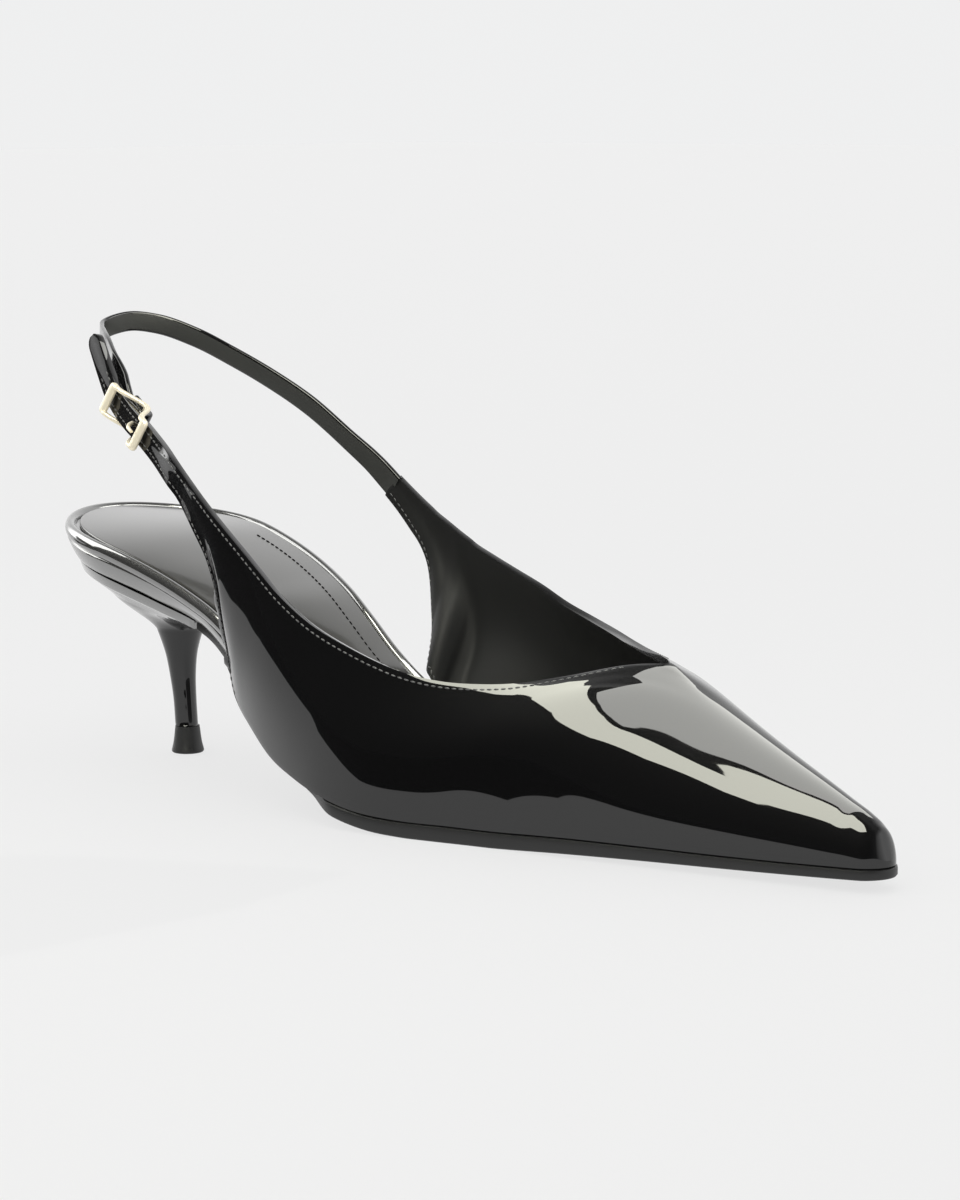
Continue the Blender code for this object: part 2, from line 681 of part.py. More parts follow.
def loft(name, sections, material, collection):
    """A closed body through equal rings of points, capped flat at both ends."""
    size = len(sections[0])
    verts = [point for section in sections for point in section]
    faces = []
    for r in range(len(sections) - 1):
        for i in range(size):
            j = (i + 1) % size
            faces.append((r * size + i, r * size + j, (r + 1) * size + j, (r + 1) * size + i))
    faces.append(tuple(range(size)))
    faces.append(tuple(range(len(verts) - 1, len(verts) - size - 1, -1)))
    return make_object(name, verts, faces, material, collection)


def flat_ring(middle, up, out, width, thickness):
    """Corners of a strap's section, with its long edges a little rounded."""
    half = width / 2
    deep = thickness / 2
    soft = min(half, deep) * 0.45
    marks = (
        (-half + soft, -deep), (half - soft, -deep), (half, -deep + soft), (half, deep - soft),
        (half - soft, deep), (-half + soft, deep), (-half, deep - soft), (-half, -deep + soft),
    )
    return [middle + up * a + out * b for a, b in marks]


def make_sling(material, collection):
    """The strap round the back of the heel, turned back round the buckle's centre bar."""
    values, ahead = strap_frames(SLING, 3)
    sections = []
    for value, direction in zip(values, ahead):
        up, out = strap_section(value, direction, value[3])
        sections.append(flat_ring(Vector(value[:3]), up, out, value[4], STRAP_THICKNESS))
    middle, run, width, face = buckle_frame()
    end_width = SLING[-1][4] * STRAP_WIDTH
    turn = CENTRE_BAR_RADIUS + 0.00015 + STRAP_THICKNESS / 2
    layer = BAR_LEVEL + turn
    track = [(along, side, layer - drop, 0) for along, side, drop in SLING_END]
    for angle in np.linspace(0, math.pi, 9):
        track.append((turn * math.sin(angle), 0, BAR_LEVEL + turn * math.cos(angle), angle))
    track.append((-FOLD_BACK * 0.5, 0, BAR_LEVEL - turn, math.pi))
    track.append((-FOLD_BACK, 0, BAR_LEVEL - turn, math.pi))
    for along, side, out, angle in track:
        point = middle + run * along + width * side + face * out
        normal = run * math.sin(angle) + face * math.cos(angle)
        sections.append(flat_ring(point, width, normal, end_width, STRAP_THICKNESS))
    made = loft("sling_strap", sections, material, collection)
    cut_along_arm("prong_slot", made, PRONG_SLOT)
    return made


def make_buckle(material, collection):
    """Arched frame: end bars lie on the arm, side bars dip past its edges to the centre bar."""
    inner_half = STRAP_WIDTH / 2 + SIDE_CLEARANCE
    side = SIDE_WIDTH
    length = BUCKLE_LENGTH / 2
    corner = 0.0014
    outline = []
    for sx, sy, start in ((1, 1, 0), (-1, 1, 90), (-1, -1, 180), (1, -1, 270)):
        for angle in (0, 30, 60, 90):
            turn = math.radians(start + angle)
            outer = (
                sx * (length - corner) + corner * math.cos(turn),
                sy * (inner_half + side - corner) + corner * math.sin(turn),
            )
            inner = (sx * (length - BAR_WIDTH - 0.0003), sy * (inner_half - 0.0003))
            inner = (
                inner[0] + 0.0003 * math.cos(turn),
                inner[1] + 0.0003 * math.sin(turn),
            )
            outline.append((outer, inner))
        if sx == sy:
            for step in np.linspace(0.1, 0.9, 9):
                x = sx * (length - corner) * (1 - 2 * step)
                outline.append(((x, sy * (inner_half + side)), (x * 0.78, sy * inner_half)))
    sections = []
    deep = BAR_THICKNESS / 2
    soft = 0.0003
    for outer, inner in outline:
        section = []
        marks = ((0, -deep + soft), (0.12, -deep), (0.88, -deep), (1, -deep + soft))
        marks += ((1, deep - soft), (0.88, deep), (0.12, deep), (0, deep - soft))
        for share, height in marks:
            x = outer[0] + (inner[0] - outer[0]) * share
            y = outer[1] + (inner[1] - outer[1]) * share
            rise = float(ease(abs(x), 0.0, length - BAR_WIDTH))
            level = BAR_LEVEL + (FRAME_LEVEL - BAR_LEVEL) * rise
            section.append(at_buckle(x, y, level + height))
        sections.append(section)
    size = len(sections[0])
    count = len(sections)
    verts = [point for section in sections for point in section]
    faces = []
    for r in range(count):
        s = (r + 1) % count
        for i in range(size):
            j = (i + 1) % size
            faces.append((r * size + i, r * size + j, s * size + j, s * size + i))
    frame = make_object("buckle_frame", verts, faces, material, collection)
    reach = inner_half + side * 0.5
    rings = []
    for across in (-reach, reach):
        ring = []
        for k in range(16):
            turn = 2 * math.pi * k / 16
            x = CENTRE_BAR_RADIUS * math.cos(turn)
            z = BAR_LEVEL + CENTRE_BAR_RADIUS * math.sin(turn)
            ring.append(at_buckle(x, across, z))
        rings.append(ring)
    bar = loft("centre_bar", rings, material, bpy.data.collections["cutters"])
    bar.hide_render = True
    bar.display_type = "WIRE"
    weld = frame.modifiers.new("centre_bar", "BOOLEAN")
    weld.operation = "UNION"
    weld.solver = "EXACT"
    weld.object = bar
    return frame


def make_prong(material, collection):
    middle, run, width, face = buckle_frame()
    track = np.array(PRONG)
    ahead = np.gradient(track, axis=0)
    sections = []
    for (along, out), (du, dv) in zip(track, ahead):
        size = math.hypot(du, dv)
        normal = (face * du - run * dv) / size
        point = middle + run * along + face * out
        taper = 1.0 - 0.35 * max(0.0, (along - 0.004) / 0.004)
        sections.append(flat_ring(point, width, normal, PRONG_WIDTH * taper, PRONG_THICKNESS))
    return loft("buckle_prong", sections, material, collection)


def heel_outline():
    """The keel's outline over the heel, as matching stations and half widths round it."""
    share = end_clustered(0.0, BREAST - GAP / LENGTH, SEAT_ROUNDING / LENGTH, 0.0, 14)
    cap = rounding(share, SEAT_ROUNDING / LENGTH)
    out = plan("keel_out", share) * BALL_WIDTH * cap
    inn = plan("keel_in", share) * BALL_WIDTH * cap
    back = (plan("rim_out", np.zeros(1))[0] - plan("keel_out", np.zeros(1))[0]) * BALL_WIDTH
    x = station_x(share) + back * (1 - share / share[-1])
    breast = np.linspace(-out[-1], inn[-1], 12)[1:-1]
    return np.concatenate([
        np.column_stack([x, -out]),
        np.column_stack([np.full(len(breast), x[-1]), breast]),
        np.column_stack([x, inn])[::-1][:-1],
    ])


def even_loop(flat, count, middle):
    """Points on a closed outline at even angles about its middle."""
    angles = np.unwrap(np.arctan2(flat[:, 1] - middle[1], flat[:, 0] - middle[0]))
    order = np.argsort(angles)
    angles = angles[order]
    radii = np.linalg.norm(flat[order] - np.array(middle), axis=1)
    angles = np.concatenate([angles - 2 * np.pi, angles, angles + 2 * np.pi])
    radii = np.tile(radii, 3)
    even = np.linspace(-np.pi, np.pi, count, endpoint=False)
    reach = np.interp(even, angles, radii)
    return even, reach


def make_heel(material, collection):
    """Flange over the whole seat that narrows to a slim round shaft."""
    flat = heel_outline()
    middle = (-0.0030, 0.0)
    turn, reach = even_loop(flat, HEEL_SIDES, middle)
    sections = []

    def ring(blend, radius, shift, drop, height, lift=0.0):
        x = middle[0] + reach * np.cos(turn) * blend
        y = middle[1] + reach * np.sin(turn) * blend
        if blend < 1:
            x = x * 1.0 + (1 - blend) * (shift - middle[0]) + (1 - blend) * radius * np.cos(turn)
            y = y + (1 - blend) * radius * np.sin(turn)
        share = (x + HEEL_SETBACK) / LENGTH
        level = sole_line(share) - drop * SEAT_HEIGHT
        if blend < 0.6:
            keep = blend / 0.6
            level = level * keep + (1 - keep) * height * SEAT_HEIGHT
        return [Vector(p) for p in np.column_stack([x, y, level + lift])]

    top = ring(1.0, 0, 0, 0, 0)
    share = (np.array([p.x for p in top]) + HEEL_SETBACK) / LENGTH
    rise = plan("sole", share) * SOLE_THICKNESS
    sections.append([p + Vector((0, 0, h)) for p, h in zip(top, rise)])
    for row in HEEL:
        sections.append(ring(*row))
    neck = []
    for angle in turn:
        neck.append(Vector((
            SHAFT_RADIUS * math.cos(angle), SHAFT_RADIUS * math.sin(angle), TIP_HEIGHT + GAP,
        )))
    sections.append(neck)
    size = len(sections[0])
    verts = [point for section in sections for point in section]
    faces = []
    for r in range(len(sections) - 1):
        for i in range(size):
            j = (i + 1) % size
            faces.append((r * size + i, r * size + j, (r + 1) * size + j, (r + 1) * size + i))
    centre = np.array([-0.0030, 0.0])
    base = float(sole_top(np.array([(centre[0] + HEEL_SETBACK) / LENGTH]))[0])
    verts.append(Vector((centre[0], centre[1], base)))
    verts.append(Vector((0, 0, TIP_HEIGHT + GAP)))
    for i in range(size):
        j = (i + 1) % size
        faces.append((i, j, len(verts) - 2))
        last = (len(sections) - 1) * size
        faces.append((last + i, last + j, len(verts) - 1))
    return make_object("heel", verts, faces, material, collection)


def make_heel_tip(material, collection):
    """Flared top piece, its profile turned round the shaft's line."""
    profile = (
        (0.0, TIP_HEIGHT), (TIP_NECK, TIP_HEIGHT), (TIP_NECK + 0.0002, 0.0050),
        (TIP_RADIUS - 0.0004, 0.0022), (TIP_RADIUS, 0.0004), (TIP_RADIUS - 0.0002, 0.0), (0.0, 0.0),
    )
    mesh = bpy.data.meshes.new("heel_tip")
    edges = [(k, k + 1) for k in range(len(profile) - 1)]
    mesh.from_pydata([(radius, 0, height) for radius, height in profile], edges, [])
    mesh.materials.append(material)
    made = bpy.data.objects.new("heel_tip", mesh)
    collection.objects.link(made)
    turn = made.modifiers.new("turn", "SCREW")
    turn.axis = "Z"
    turn.steps = 32
    turn.render_steps = 32
    turn.use_merge_vertices = True
    turn.merge_threshold = 0.00005
    turn.use_normal_calculate = True
    return made


def main():
    for old in list(bpy.data.objects):
        bpy.data.objects.remove(old, do_unlink=True)
    shoe = bpy.data.collections.new("slingback_pump")
    cutters = bpy.data.collections.new("cutters")
    bpy.context.scene.collection.children.link(shoe)
    bpy.context.scene.collection.children.link(cutters)
    make_outsole(make_material("sole_leather", (0.030, 0.028, 0.027), 0.45), shoe)
    make_footbed(make_material("footbed_cover", (0.014, 0.014, 0.015), 0.10), shoe)
    make_insole(make_material("sock_leather", (0.020, 0.020, 0.021), 0.25), shoe)
    make_heel(make_material("heel_cover", (0.012, 0.012, 0.013), 0.08), shoe)
    make_heel_tip(make_material("tip_rubber", (0.015, 0.015, 0.015), 0.60), shoe)
    make_upper(make_material("patent_leather", (0.012, 0.012, 0.013), 0.08), shoe)
    make_sling(make_material("strap_leather", (0.012, 0.012, 0.013), 0.08), shoe)
    make_buckle(make_material("buckle_gold", (0.72, 0.58, 0.38), 0.18, 1.0), shoe)
    make_prong(make_material("prong_gold", (0.72, 0.58, 0.38), 0.18, 1.0), shoe)


main()
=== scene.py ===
# A right slingback pump in black patent leather, with a kitten heel, a covered footbed and a
# small gold prong buckle. It stands empty on a pale studio floor.
import math

import bmesh
import bpy
import numpy as np
from mathutils import Matrix, Vector


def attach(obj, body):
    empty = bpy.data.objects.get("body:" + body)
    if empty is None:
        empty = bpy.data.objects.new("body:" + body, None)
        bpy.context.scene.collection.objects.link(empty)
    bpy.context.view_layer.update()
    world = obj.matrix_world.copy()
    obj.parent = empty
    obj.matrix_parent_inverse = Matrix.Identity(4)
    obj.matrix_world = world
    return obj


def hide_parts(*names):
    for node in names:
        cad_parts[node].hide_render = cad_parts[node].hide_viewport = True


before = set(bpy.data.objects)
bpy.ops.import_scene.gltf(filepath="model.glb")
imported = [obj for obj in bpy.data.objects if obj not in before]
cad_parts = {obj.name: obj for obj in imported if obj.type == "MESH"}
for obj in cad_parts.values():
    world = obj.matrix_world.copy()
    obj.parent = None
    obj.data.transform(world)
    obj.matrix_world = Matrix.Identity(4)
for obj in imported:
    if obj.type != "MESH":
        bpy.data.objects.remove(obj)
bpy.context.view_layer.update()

# Camera. A long lens, low over the floor, that looks at the outer side from ahead of the toe.
# It stands on the line that the shoe's own outlines give, and has no shift.
LENS_DISTANCE = 0.8198
LENS_ASIDE = 0.01083
LENS_RISE = 0.00579
turn = math.radians(44.158)
tilt = math.radians(8.634)
roll = math.radians(-0.367)
level = Vector((math.cos(turn), math.sin(turn), 0))
upward = Vector((-math.sin(turn) * math.sin(tilt), math.cos(turn) * math.sin(tilt), math.cos(tilt)))
toward = level.cross(upward)
right = level * math.cos(roll) + upward * math.sin(roll)
above = upward * math.cos(roll) - level * math.sin(roll)
mid_shoe = Vector((0.095, 0, 0.045))
eye = mid_shoe + toward * LENS_DISTANCE + right * LENS_ASIDE + above * LENS_RISE
lens = bpy.data.cameras.new("long_lens")
lens.sensor_fit = "VERTICAL"
lens.sensor_height = 36.0
lens.lens = 99.2
lens.clip_start = 0.05
camera = bpy.data.objects.new("long_lens", lens)
bpy.context.scene.collection.objects.link(camera)
camera.matrix_world = Matrix.Translation(eye) @ Matrix((right, above, toward)).transposed().to_4x4()
bpy.context.scene.camera = camera

# Floor. One seamless sheet of pale paper, matte and lit from below. Its edges lie far out of
# view on every side.
def surface(name, colour, roughness, more=None):
    """A material with an even surface: its colour, its roughness, and further values of the
    shader under the names of its inputs."""
    made = bpy.data.materials.new(name)
    made.use_nodes = True
    inputs = made.node_tree.nodes["Principled BSDF"].inputs
    inputs["Base Color"].default_value = (*colour, 1)
    inputs["Roughness"].default_value = roughness
    for label, value in (more or {}).items():
        inputs[label].default_value = value
    return made


paper = surface("floor_paper", (0.12, 0.12, 0.12), 0.9, {
    "Emission Color": (1, 1, 1, 1), "Emission Strength": 0.722, "Specular IOR Level": 0.1,
})
sheet = bpy.data.meshes.new("floor")
sheet.from_pydata([(-9, -9, 0), (9, -9, 0), (9, 9, 0), (-9, 9, 0)], [], [(0, 1, 2, 3)])
sheet.materials.append(paper)
floor = bpy.data.objects.new("floor", sheet)
bpy.context.scene.collection.objects.link(floor)

# The last. The shoe is cut to one last, and each row is a section of it from the seat to the
# toe: the rim is the footbed's outline, the keel the narrower outline of its underside.
LENGTH = 0.2702
SETBACK = 0.0342
BALL_WIDTH = 0.0790
SEAT_HEIGHT = 0.0535
SEAT_ROUNDING = 0.0350
RIM_DEPTH = 0.0115
SOLE_THICKNESS = 0.0036
GAP = 0.0003
BREAST = 0.226
# The columns after the station are shares of the ball's width, the seat's height, the rim's
# depth and the sole's thickness.
LAST_COLUMNS = ("station", "rim_out", "rim_in", "keel_out", "keel_in", "sole_line", "rim", "sole")
LAST = np.array((
    (0.000, 0.373, 0.373, 0.335, 0.335, 1.000, 1.00, 0.67),
    (0.145, 0.371, 0.382, 0.323, 0.329, 0.860, 1.06, 0.67),
    (0.182, 0.352, 0.377, 0.291, 0.316, 0.796, 1.08, 0.67),
    (0.238, 0.335, 0.349, 0.246, 0.278, 0.686, 1.11, 0.67),
    (0.278, 0.337, 0.314, 0.281, 0.241, 0.598, 1.13, 0.67),
    (0.312, 0.349, 0.289, 0.316, 0.222, 0.505, 1.09, 0.67),
    (0.356, 0.394, 0.273, 0.376, 0.219, 0.363, 1.01, 0.67),
    (0.408, 0.438, 0.289, 0.430, 0.258, 0.209, 0.90, 0.68),
    (0.460, 0.470, 0.361, 0.463, 0.347, 0.097, 0.79, 0.78),
    (0.497, 0.475, 0.418, 0.468, 0.410, 0.045, 0.77, 0.92),
    (0.530, 0.457, 0.451, 0.451, 0.444, 0.013, 0.75, 1.00),
    (0.567, 0.425, 0.463, 0.419, 0.457, 0.000, 0.72, 1.06),
    (0.648, 0.347, 0.430, 0.341, 0.424, 0.000, 0.69, 1.06),
    (0.719, 0.289, 0.337, 0.282, 0.330, 0.015, 0.60, 1.00),
    (0.793, 0.224, 0.248, 0.218, 0.242, 0.026, 0.55, 0.88),
    (0.863, 0.163, 0.165, 0.157, 0.158, 0.034, 0.51, 0.78),
    (0.959, 0.076, 0.071, 0.070, 0.065, 0.047, 0.48, 0.71),
    (1.000, 0.037, 0.037, 0.030, 0.030, 0.054, 0.46, 0.69),
))


def fair(at, known, values):
    """Values at chosen places on a fair curve: a cubic in each span, whose slope at a known
    place is that of the parabola through it and its neighbours."""
    known = np.asarray(known, float)
    values = np.asarray(values, float)
    slopes = np.gradient(values, known, axis=0)
    at = np.asarray(at, float)
    i = np.clip(np.searchsorted(known, at) - 1, 0, len(known) - 2)
    step = known[i + 1] - known[i]
    t = (at - known[i]) / step
    if values.ndim == 2:
        t = t[..., None]
        step = step[..., None]
    start = (1 + 2 * t) * (1 - t) ** 2 * values[i] + t * (1 - t) ** 2 * step * slopes[i]
    return start + t * t * (3 - 2 * t) * values[i + 1] + t * t * (t - 1) * step * slopes[i + 1]


def last(column, share):
    """One column of the last at any stations."""
    return fair(share, LAST[:, 0], LAST[:, LAST_COLUMNS.index(column)])


def place(share):
    """How far ahead of the heel tip's middle a station lies."""
    return np.asarray(share, float) * LENGTH - SETBACK


def share_of(x):
    """The station at a place, the other way round."""
    return (np.asarray(x, float) + SETBACK) / LENGTH


def sole_line(share):
    """Height of the sole's underside."""
    return np.maximum(last("sole_line", share), 0.0) * SEAT_HEIGHT


def sole_top(share):
    """The sole's underside and its thickness."""
    return sole_line(share) + last("sole", share) * SOLE_THICKNESS


def rim_top(share):
    """The sole's underside and the depth of sole and footbed together."""
    return sole_line(share) + last("rim", share) * RIM_DEPTH


def ease(value, start, end):
    """0 before start, 1 after end, with level ends between them."""
    t = np.clip((np.asarray(value, float) - start) / (end - start), 0, 1)
    return t * t * (3 - 2 * t)


def rounded(distance, length):
    """Width of a quarter ellipse at a distance from its tip, as a share of its full width."""
    t = np.clip(distance / length, 0, 1)
    return np.sqrt(np.maximum(1 - (1 - t) ** 2, 0))


# Outsole. A thin plate of dyed leather, cut to the feather line and buffed at its edge. It
# starts at the heel's breast, tucks in under the arch, and stands a hair proud from the ball on.
def put(name, points, faces, materials, smooth_angle=40.0):
    """A mesh object at the origin from an array of points and its faces, smooth up to an angle
    between them."""
    mesh = bpy.data.meshes.new(name)
    mesh.from_pydata(points.reshape(-1, 3).tolist(), [], faces)
    mesh.shade_smooth()
    mesh.set_sharp_from_angle(angle=math.radians(smooth_angle))
    for material in materials:
        mesh.materials.append(material)
    made = bpy.data.objects.new(name, mesh)
    bpy.context.scene.collection.objects.link(made)
    return made


def grid_faces(rows, columns, wrap_rows=False, wrap_columns=False):
    """Four-cornered faces between neighbouring points of a grid laid out row by row, which may
    close on itself either way."""
    r = np.arange(rows if wrap_rows else rows - 1)[:, None]
    c = np.arange(columns if wrap_columns else columns - 1)[None, :]
    r2 = (r + 1) % rows
    c2 = (c + 1) % columns
    corners = (r * columns + c, r * columns + c2, r2 * columns + c2, r2 * columns + c)
    return np.stack(np.broadcast_arrays(*corners), -1).reshape(-1, 4)


def clean_up(made, distance=0.00001, smooth_angle=None, middle=None):
    """Merges points that meet at tips, turns every face outward, which on an open sheet is away
    from the middle given, and marks the edges that are sharper than the angle."""
    shape = bmesh.new()
    shape.from_mesh(made.data)
    bmesh.ops.remove_doubles(shape, verts=shape.verts, dist=distance)
    bmesh.ops.dissolve_degenerate(shape, edges=shape.edges, dist=distance)
    bmesh.ops.recalc_face_normals(shape, faces=shape.faces)
    if middle is not None:
        shape.normal_update()
        facing = sum(face.normal.dot(face.calc_center_median() - middle) for face in shape.faces)
        if facing < 0:
            bmesh.ops.reverse_faces(shape, faces=shape.faces)
    shape.to_mesh(made.data)
    shape.free()
    if smooth_angle is not None:
        made.data.set_sharp_from_angle(angle=math.radians(smooth_angle))


def rim_loop(shares, out, inn):
    """A closed outline: the outer side from back to front, then the inner side back again."""
    x = place(shares)
    return np.concatenate([np.column_stack([x, -out]), np.column_stack([x, inn])[::-1]])


def inward_of(loop):
    """Unit directions square to a closed outline, pointing into it."""
    along = np.roll(loop, -1, 0) - np.roll(loop, 1, 0)
    along /= np.maximum(np.linalg.norm(along, axis=1)[:, None], 1e-9)
    return np.stack([-along[:, 1], along[:, 0]], 1)


def plate(name, shares, out, inn, rings, materials, square_back=False, smooth_angle=40.0):
    """A plate or board: rings of its outline, each moved in by one amount and set at one height,
    with strips across the first and last ring for the under and upper faces."""
    loop = rim_loop(shares, out, inn)
    inward = inward_of(loop)
    if square_back:
        inward[0] = (0, 1)
        inward[-1] = (0, -1)
    size = len(loop)
    count = len(shares)
    at = np.concatenate([shares, shares[::-1]])
    layers = []
    for inset, height in rings:
        flat = loop + inward * (inset(at) if callable(inset) else np.full(size, inset))[:, None]
        layers.append(np.column_stack([flat, height(share_of(flat[:, 0]))]))
    points = np.array(layers)
    faces = [grid_faces(len(rings), size, wrap_columns=True)]
    i = np.arange(count - 1)
    strip = np.stack([i, i + 1, size - 2 - i, size - 1 - i], -1)
    faces += [strip, strip[:, ::-1] + (len(rings) - 1) * size]
    made = put(name, points, np.concatenate(faces).tolist(), materials, smooth_angle)
    clean_up(made, smooth_angle=smooth_angle)
    return made


def stations(start, end, start_round, end_round, count):
    """Stations from start to end: even steps, packed close by a cosine at a rounded end."""
    t = np.linspace(0, 1, count)
    span = end - start
    head = start + start_round * (1 - np.cos(np.pi / 2 * np.linspace(0, 1, 40)))
    tail = end - end_round * (1 - np.cos(np.pi / 2 * np.linspace(1, 0, 30)))
    low = head[-1] if start_round else start
    high = tail[0] if end_round else end
    body = start + span * t
    body = body[(body > low + span / count * 0.5) & (body < high - span / count * 0.5)]
    return np.concatenate([head if start_round else [start], body, tail if end_round else [end]])


WALL = 0.0017
PROUD = 0.0003
TIP_ROUND = 0.005
# Stations: the upper's edge starts to rise from the sole's underside, it lies on the sole, which
# starts to spread there, and the sole is as wide as the upper.
LIFT_START = 0.412
TUCK_END = 0.446
SPREAD_END = 0.492


def feather(side, share, tip=1.0):
    """Half width of the upper's outer face where it meets the sole: the rim's, a gap and the
    wall, rounded off at the toe's tip."""
    width = last("rim_" + side, share) * BALL_WIDTH + GAP + WALL
    return width * rounded((tip - share) * LENGTH, TIP_ROUND)


sole_tip = 1.0 + PROUD / LENGTH
sole_shares = stations(BREAST, sole_tip, 0.0, 0.016, 150)
spread = ease(sole_shares, TUCK_END, SPREAD_END)
sole_half = {}
for side in ("out", "in"):
    tucked = last("keel_" + side, sole_shares) * BALL_WIDTH - GAP
    proud = PROUD * rounded((sole_tip - sole_shares) * LENGTH, TIP_ROUND)
    wide = feather(side, sole_shares, sole_tip) + proud
    sole_half[side] = tucked * (1 - spread) + wide * spread
soling = surface("dyed_sole_leather", (0.010, 0.010, 0.010), 0.42)
# Each ring of the sole's edge, from below: how far it lies in from the outline, and its height.
outsole = plate("sole_plate", sole_shares, sole_half["out"], sole_half["in"], (
    (0.0007, sole_line),
    (0.0003, lambda s: sole_line(s) + 0.00012),
    (0.0, lambda s: sole_line(s) + 0.0005),
    (0.0, lambda s: sole_top(s) - 0.0006),
    (0.0001, lambda s: sole_top(s) - 0.0002),
    (0.0005, sole_top),
), [soling], square_back=True)
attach(outsole, "root")
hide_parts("outsole")

# Footbed. A board covered in glossy black leather. Its side band leans out from the sole, and
# the cover is turned over a cord at the top to make a rolled rim round the seat and arch.
ROLL = 0.0040
ROLL_WIDTH = 0.0030
SOCK = 0.0010
FOOTBED_END = 0.955
FOOTBED_END_ROUND = 0.012
round_back = SEAT_ROUNDING / LENGTH
bed_shares = stations(0.0, FOOTBED_END, round_back, FOOTBED_END_ROUND, 170)
bed_cap = rounded(bed_shares, round_back) * rounded(FOOTBED_END - bed_shares, FOOTBED_END_ROUND)
bed_out = last("rim_out", bed_shares) * BALL_WIDTH * bed_cap
bed_in = last("rim_in", bed_shares) * BALL_WIDTH * bed_cap


def sock_base(share):
    """The board's upper face: the sock and two gaps below the top of the roll."""
    return rim_top(share) - SOCK - 2 * GAP


def roll_height(share):
    """Height of the rolled rim: full at the seat and thinner where the board thins."""
    low = sole_top(share) + GAP
    return ROLL * np.clip((rim_top(share) - low) / RIM_DEPTH * 1.3, 0.35, 1)


def lean(part):
    """Inset of the side band: part of the way from the rim in to the keel, side by side."""
    def inset(at):
        half = len(at) // 2
        out = last("rim_out", at[:half]) - last("keel_out", at[:half])
        inn = last("rim_in", at[half:]) - last("keel_in", at[half:])
        return np.maximum(np.concatenate([out, inn]) * BALL_WIDTH * part, 0.0002)
    return inset


def band(part):
    """A height on the side band, from the board's underside to the foot of the roll."""
    def height(share):
        low = sole_top(share) + GAP
        return low + (rim_top(share) - roll_height(share) - low) * part
    return height


def on_roll(part):
    """A height on the roll, from its foot to its top."""
    def height(share):
        return rim_top(share) - roll_height(share) * (1 - part)
    return height


bed_rings = [
    (lean(1.0), band(0.0)), (lean(0.86), band(0.10)), (lean(0.62), band(0.35)),
    (lean(0.40), band(0.62)), (lean(0.24), band(0.86)), (lean(0.20), band(0.95)),
    (0.0009, on_roll(0.0)), (0.0010, on_roll(0.03)),
]
for angle in np.radians(np.r_[np.linspace(-60, 90, 11), np.linspace(105, 140, 4)]):
    bed_rings.append((
        0.5 * ROLL_WIDTH * (1 - math.cos(angle)), on_roll(0.5 + 0.5 * math.sin(angle)),
    ))
bed_rings.append((ROLL_WIDTH, sock_base))
cover = surface("glossy_board_cover", (0.040, 0.040, 0.037), 0.3, {
    "Coat Weight": 1.0, "Coat Roughness": 0.05, "Coat IOR": 2.7,
})
footbed = plate("covered_board", bed_shares, bed_out, bed_in, bed_rings, [cover], smooth_angle=60)
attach(footbed, "root")
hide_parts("footbed")

# Sock. Smooth polished leather cut to lie inside the rolled rim, glued down, with one row of
# stitching close to its inner edge.
SOCK_EDGE = ROLL_WIDTH + 1.5 * GAP
sock_out = np.maximum(last("rim_out", bed_shares) * BALL_WIDTH - SOCK_EDGE, 0.0003) * bed_cap
sock_in = np.maximum(last("rim_in", bed_shares) * BALL_WIDTH - SOCK_EDGE, 0.0003) * bed_cap
shrink = SOCK_EDGE / LENGTH
sock_at = shrink + bed_shares * (FOOTBED_END - 2 * shrink) / FOOTBED_END
sock_leather = surface("polished_sock_leather", (0.030, 0.029, 0.023), 0.3, {
    "Coat Weight": 1.0, "Coat Roughness": 0.09, "Coat IOR": 1.55,
})
sock = plate("stitched_sock", sock_at, sock_out, sock_in, (
    (0.0, lambda s: sock_base(s) + GAP),
    (0.0, lambda s: sock_base(s) + GAP + SOCK * 0.6),
    (0.0002, lambda s: sock_base(s) + GAP + SOCK * 0.92),
    (0.0006, lambda s: sock_base(s) + GAP + SOCK),
), [sock_leather], smooth_angle=60)
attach(sock, "root")
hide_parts("insole")

# Heel. A moulded core covered in patent leather: a flange as wide as the seat that draws in to
# a slim round shaft set well forward, over a flared top piece of hard rubber.
TIP_HEIGHT = 0.0072
SHAFT = 0.00305
HEEL_SET_IN = 0.038
HEEL_ROUND = 160
COVERED_BANDS = 5
# Each level from the flange down: its share of the seat's outline, the radius and the middle of
# the circle that it turns into, its drop below the sole line, and its height once it lies flat.
HEEL = np.array((
    (0.95, 0.0075, -0.0023, 0.004, 0.80),
    (0.80, 0.0075, -0.0023, 0.043, 0.78),
    (0.55, 0.0085, -0.0023, 0.098, 0.74),
    (0.24, 0.0075, -0.0022, 0.150, 0.69),
    (0.00, 0.0064, -0.0021, 0.170, 0.63),
    (0.00, 0.0050, -0.0020, 0.170, 0.55),
    (0.00, 0.0041, -0.0018, 0.170, 0.48),
    (0.00, 0.00345, -0.0014, 0.170, 0.38),
    (0.00, 0.0031, -0.0008, 0.170, 0.27),
    (0.00, SHAFT, -0.0003, 0.170, 0.14),
))
heel_shares = stations(0.0, BREAST - GAP / LENGTH, round_back, 0.0, 60)
heel_cap = rounded(heel_shares, round_back)
heel_x = place(heel_shares) + HEEL_SET_IN * BALL_WIDTH * (1 - heel_shares / heel_shares[-1])
heel_out = last("keel_out", heel_shares) * BALL_WIDTH * heel_cap
heel_in = last("keel_in", heel_shares) * BALL_WIDTH * heel_cap
breast = np.linspace(-heel_out[-1], heel_in[-1], 60)[1:-1]
heel_flat = np.concatenate([
    np.column_stack([heel_x, -heel_out]),
    np.column_stack([np.full(len(breast), heel_x[-1]), breast]),
    np.column_stack([heel_x, heel_in])[::-1][:-1],
])
heel_middle = np.array((-0.0030, 0.0))
spoke = heel_flat - heel_middle
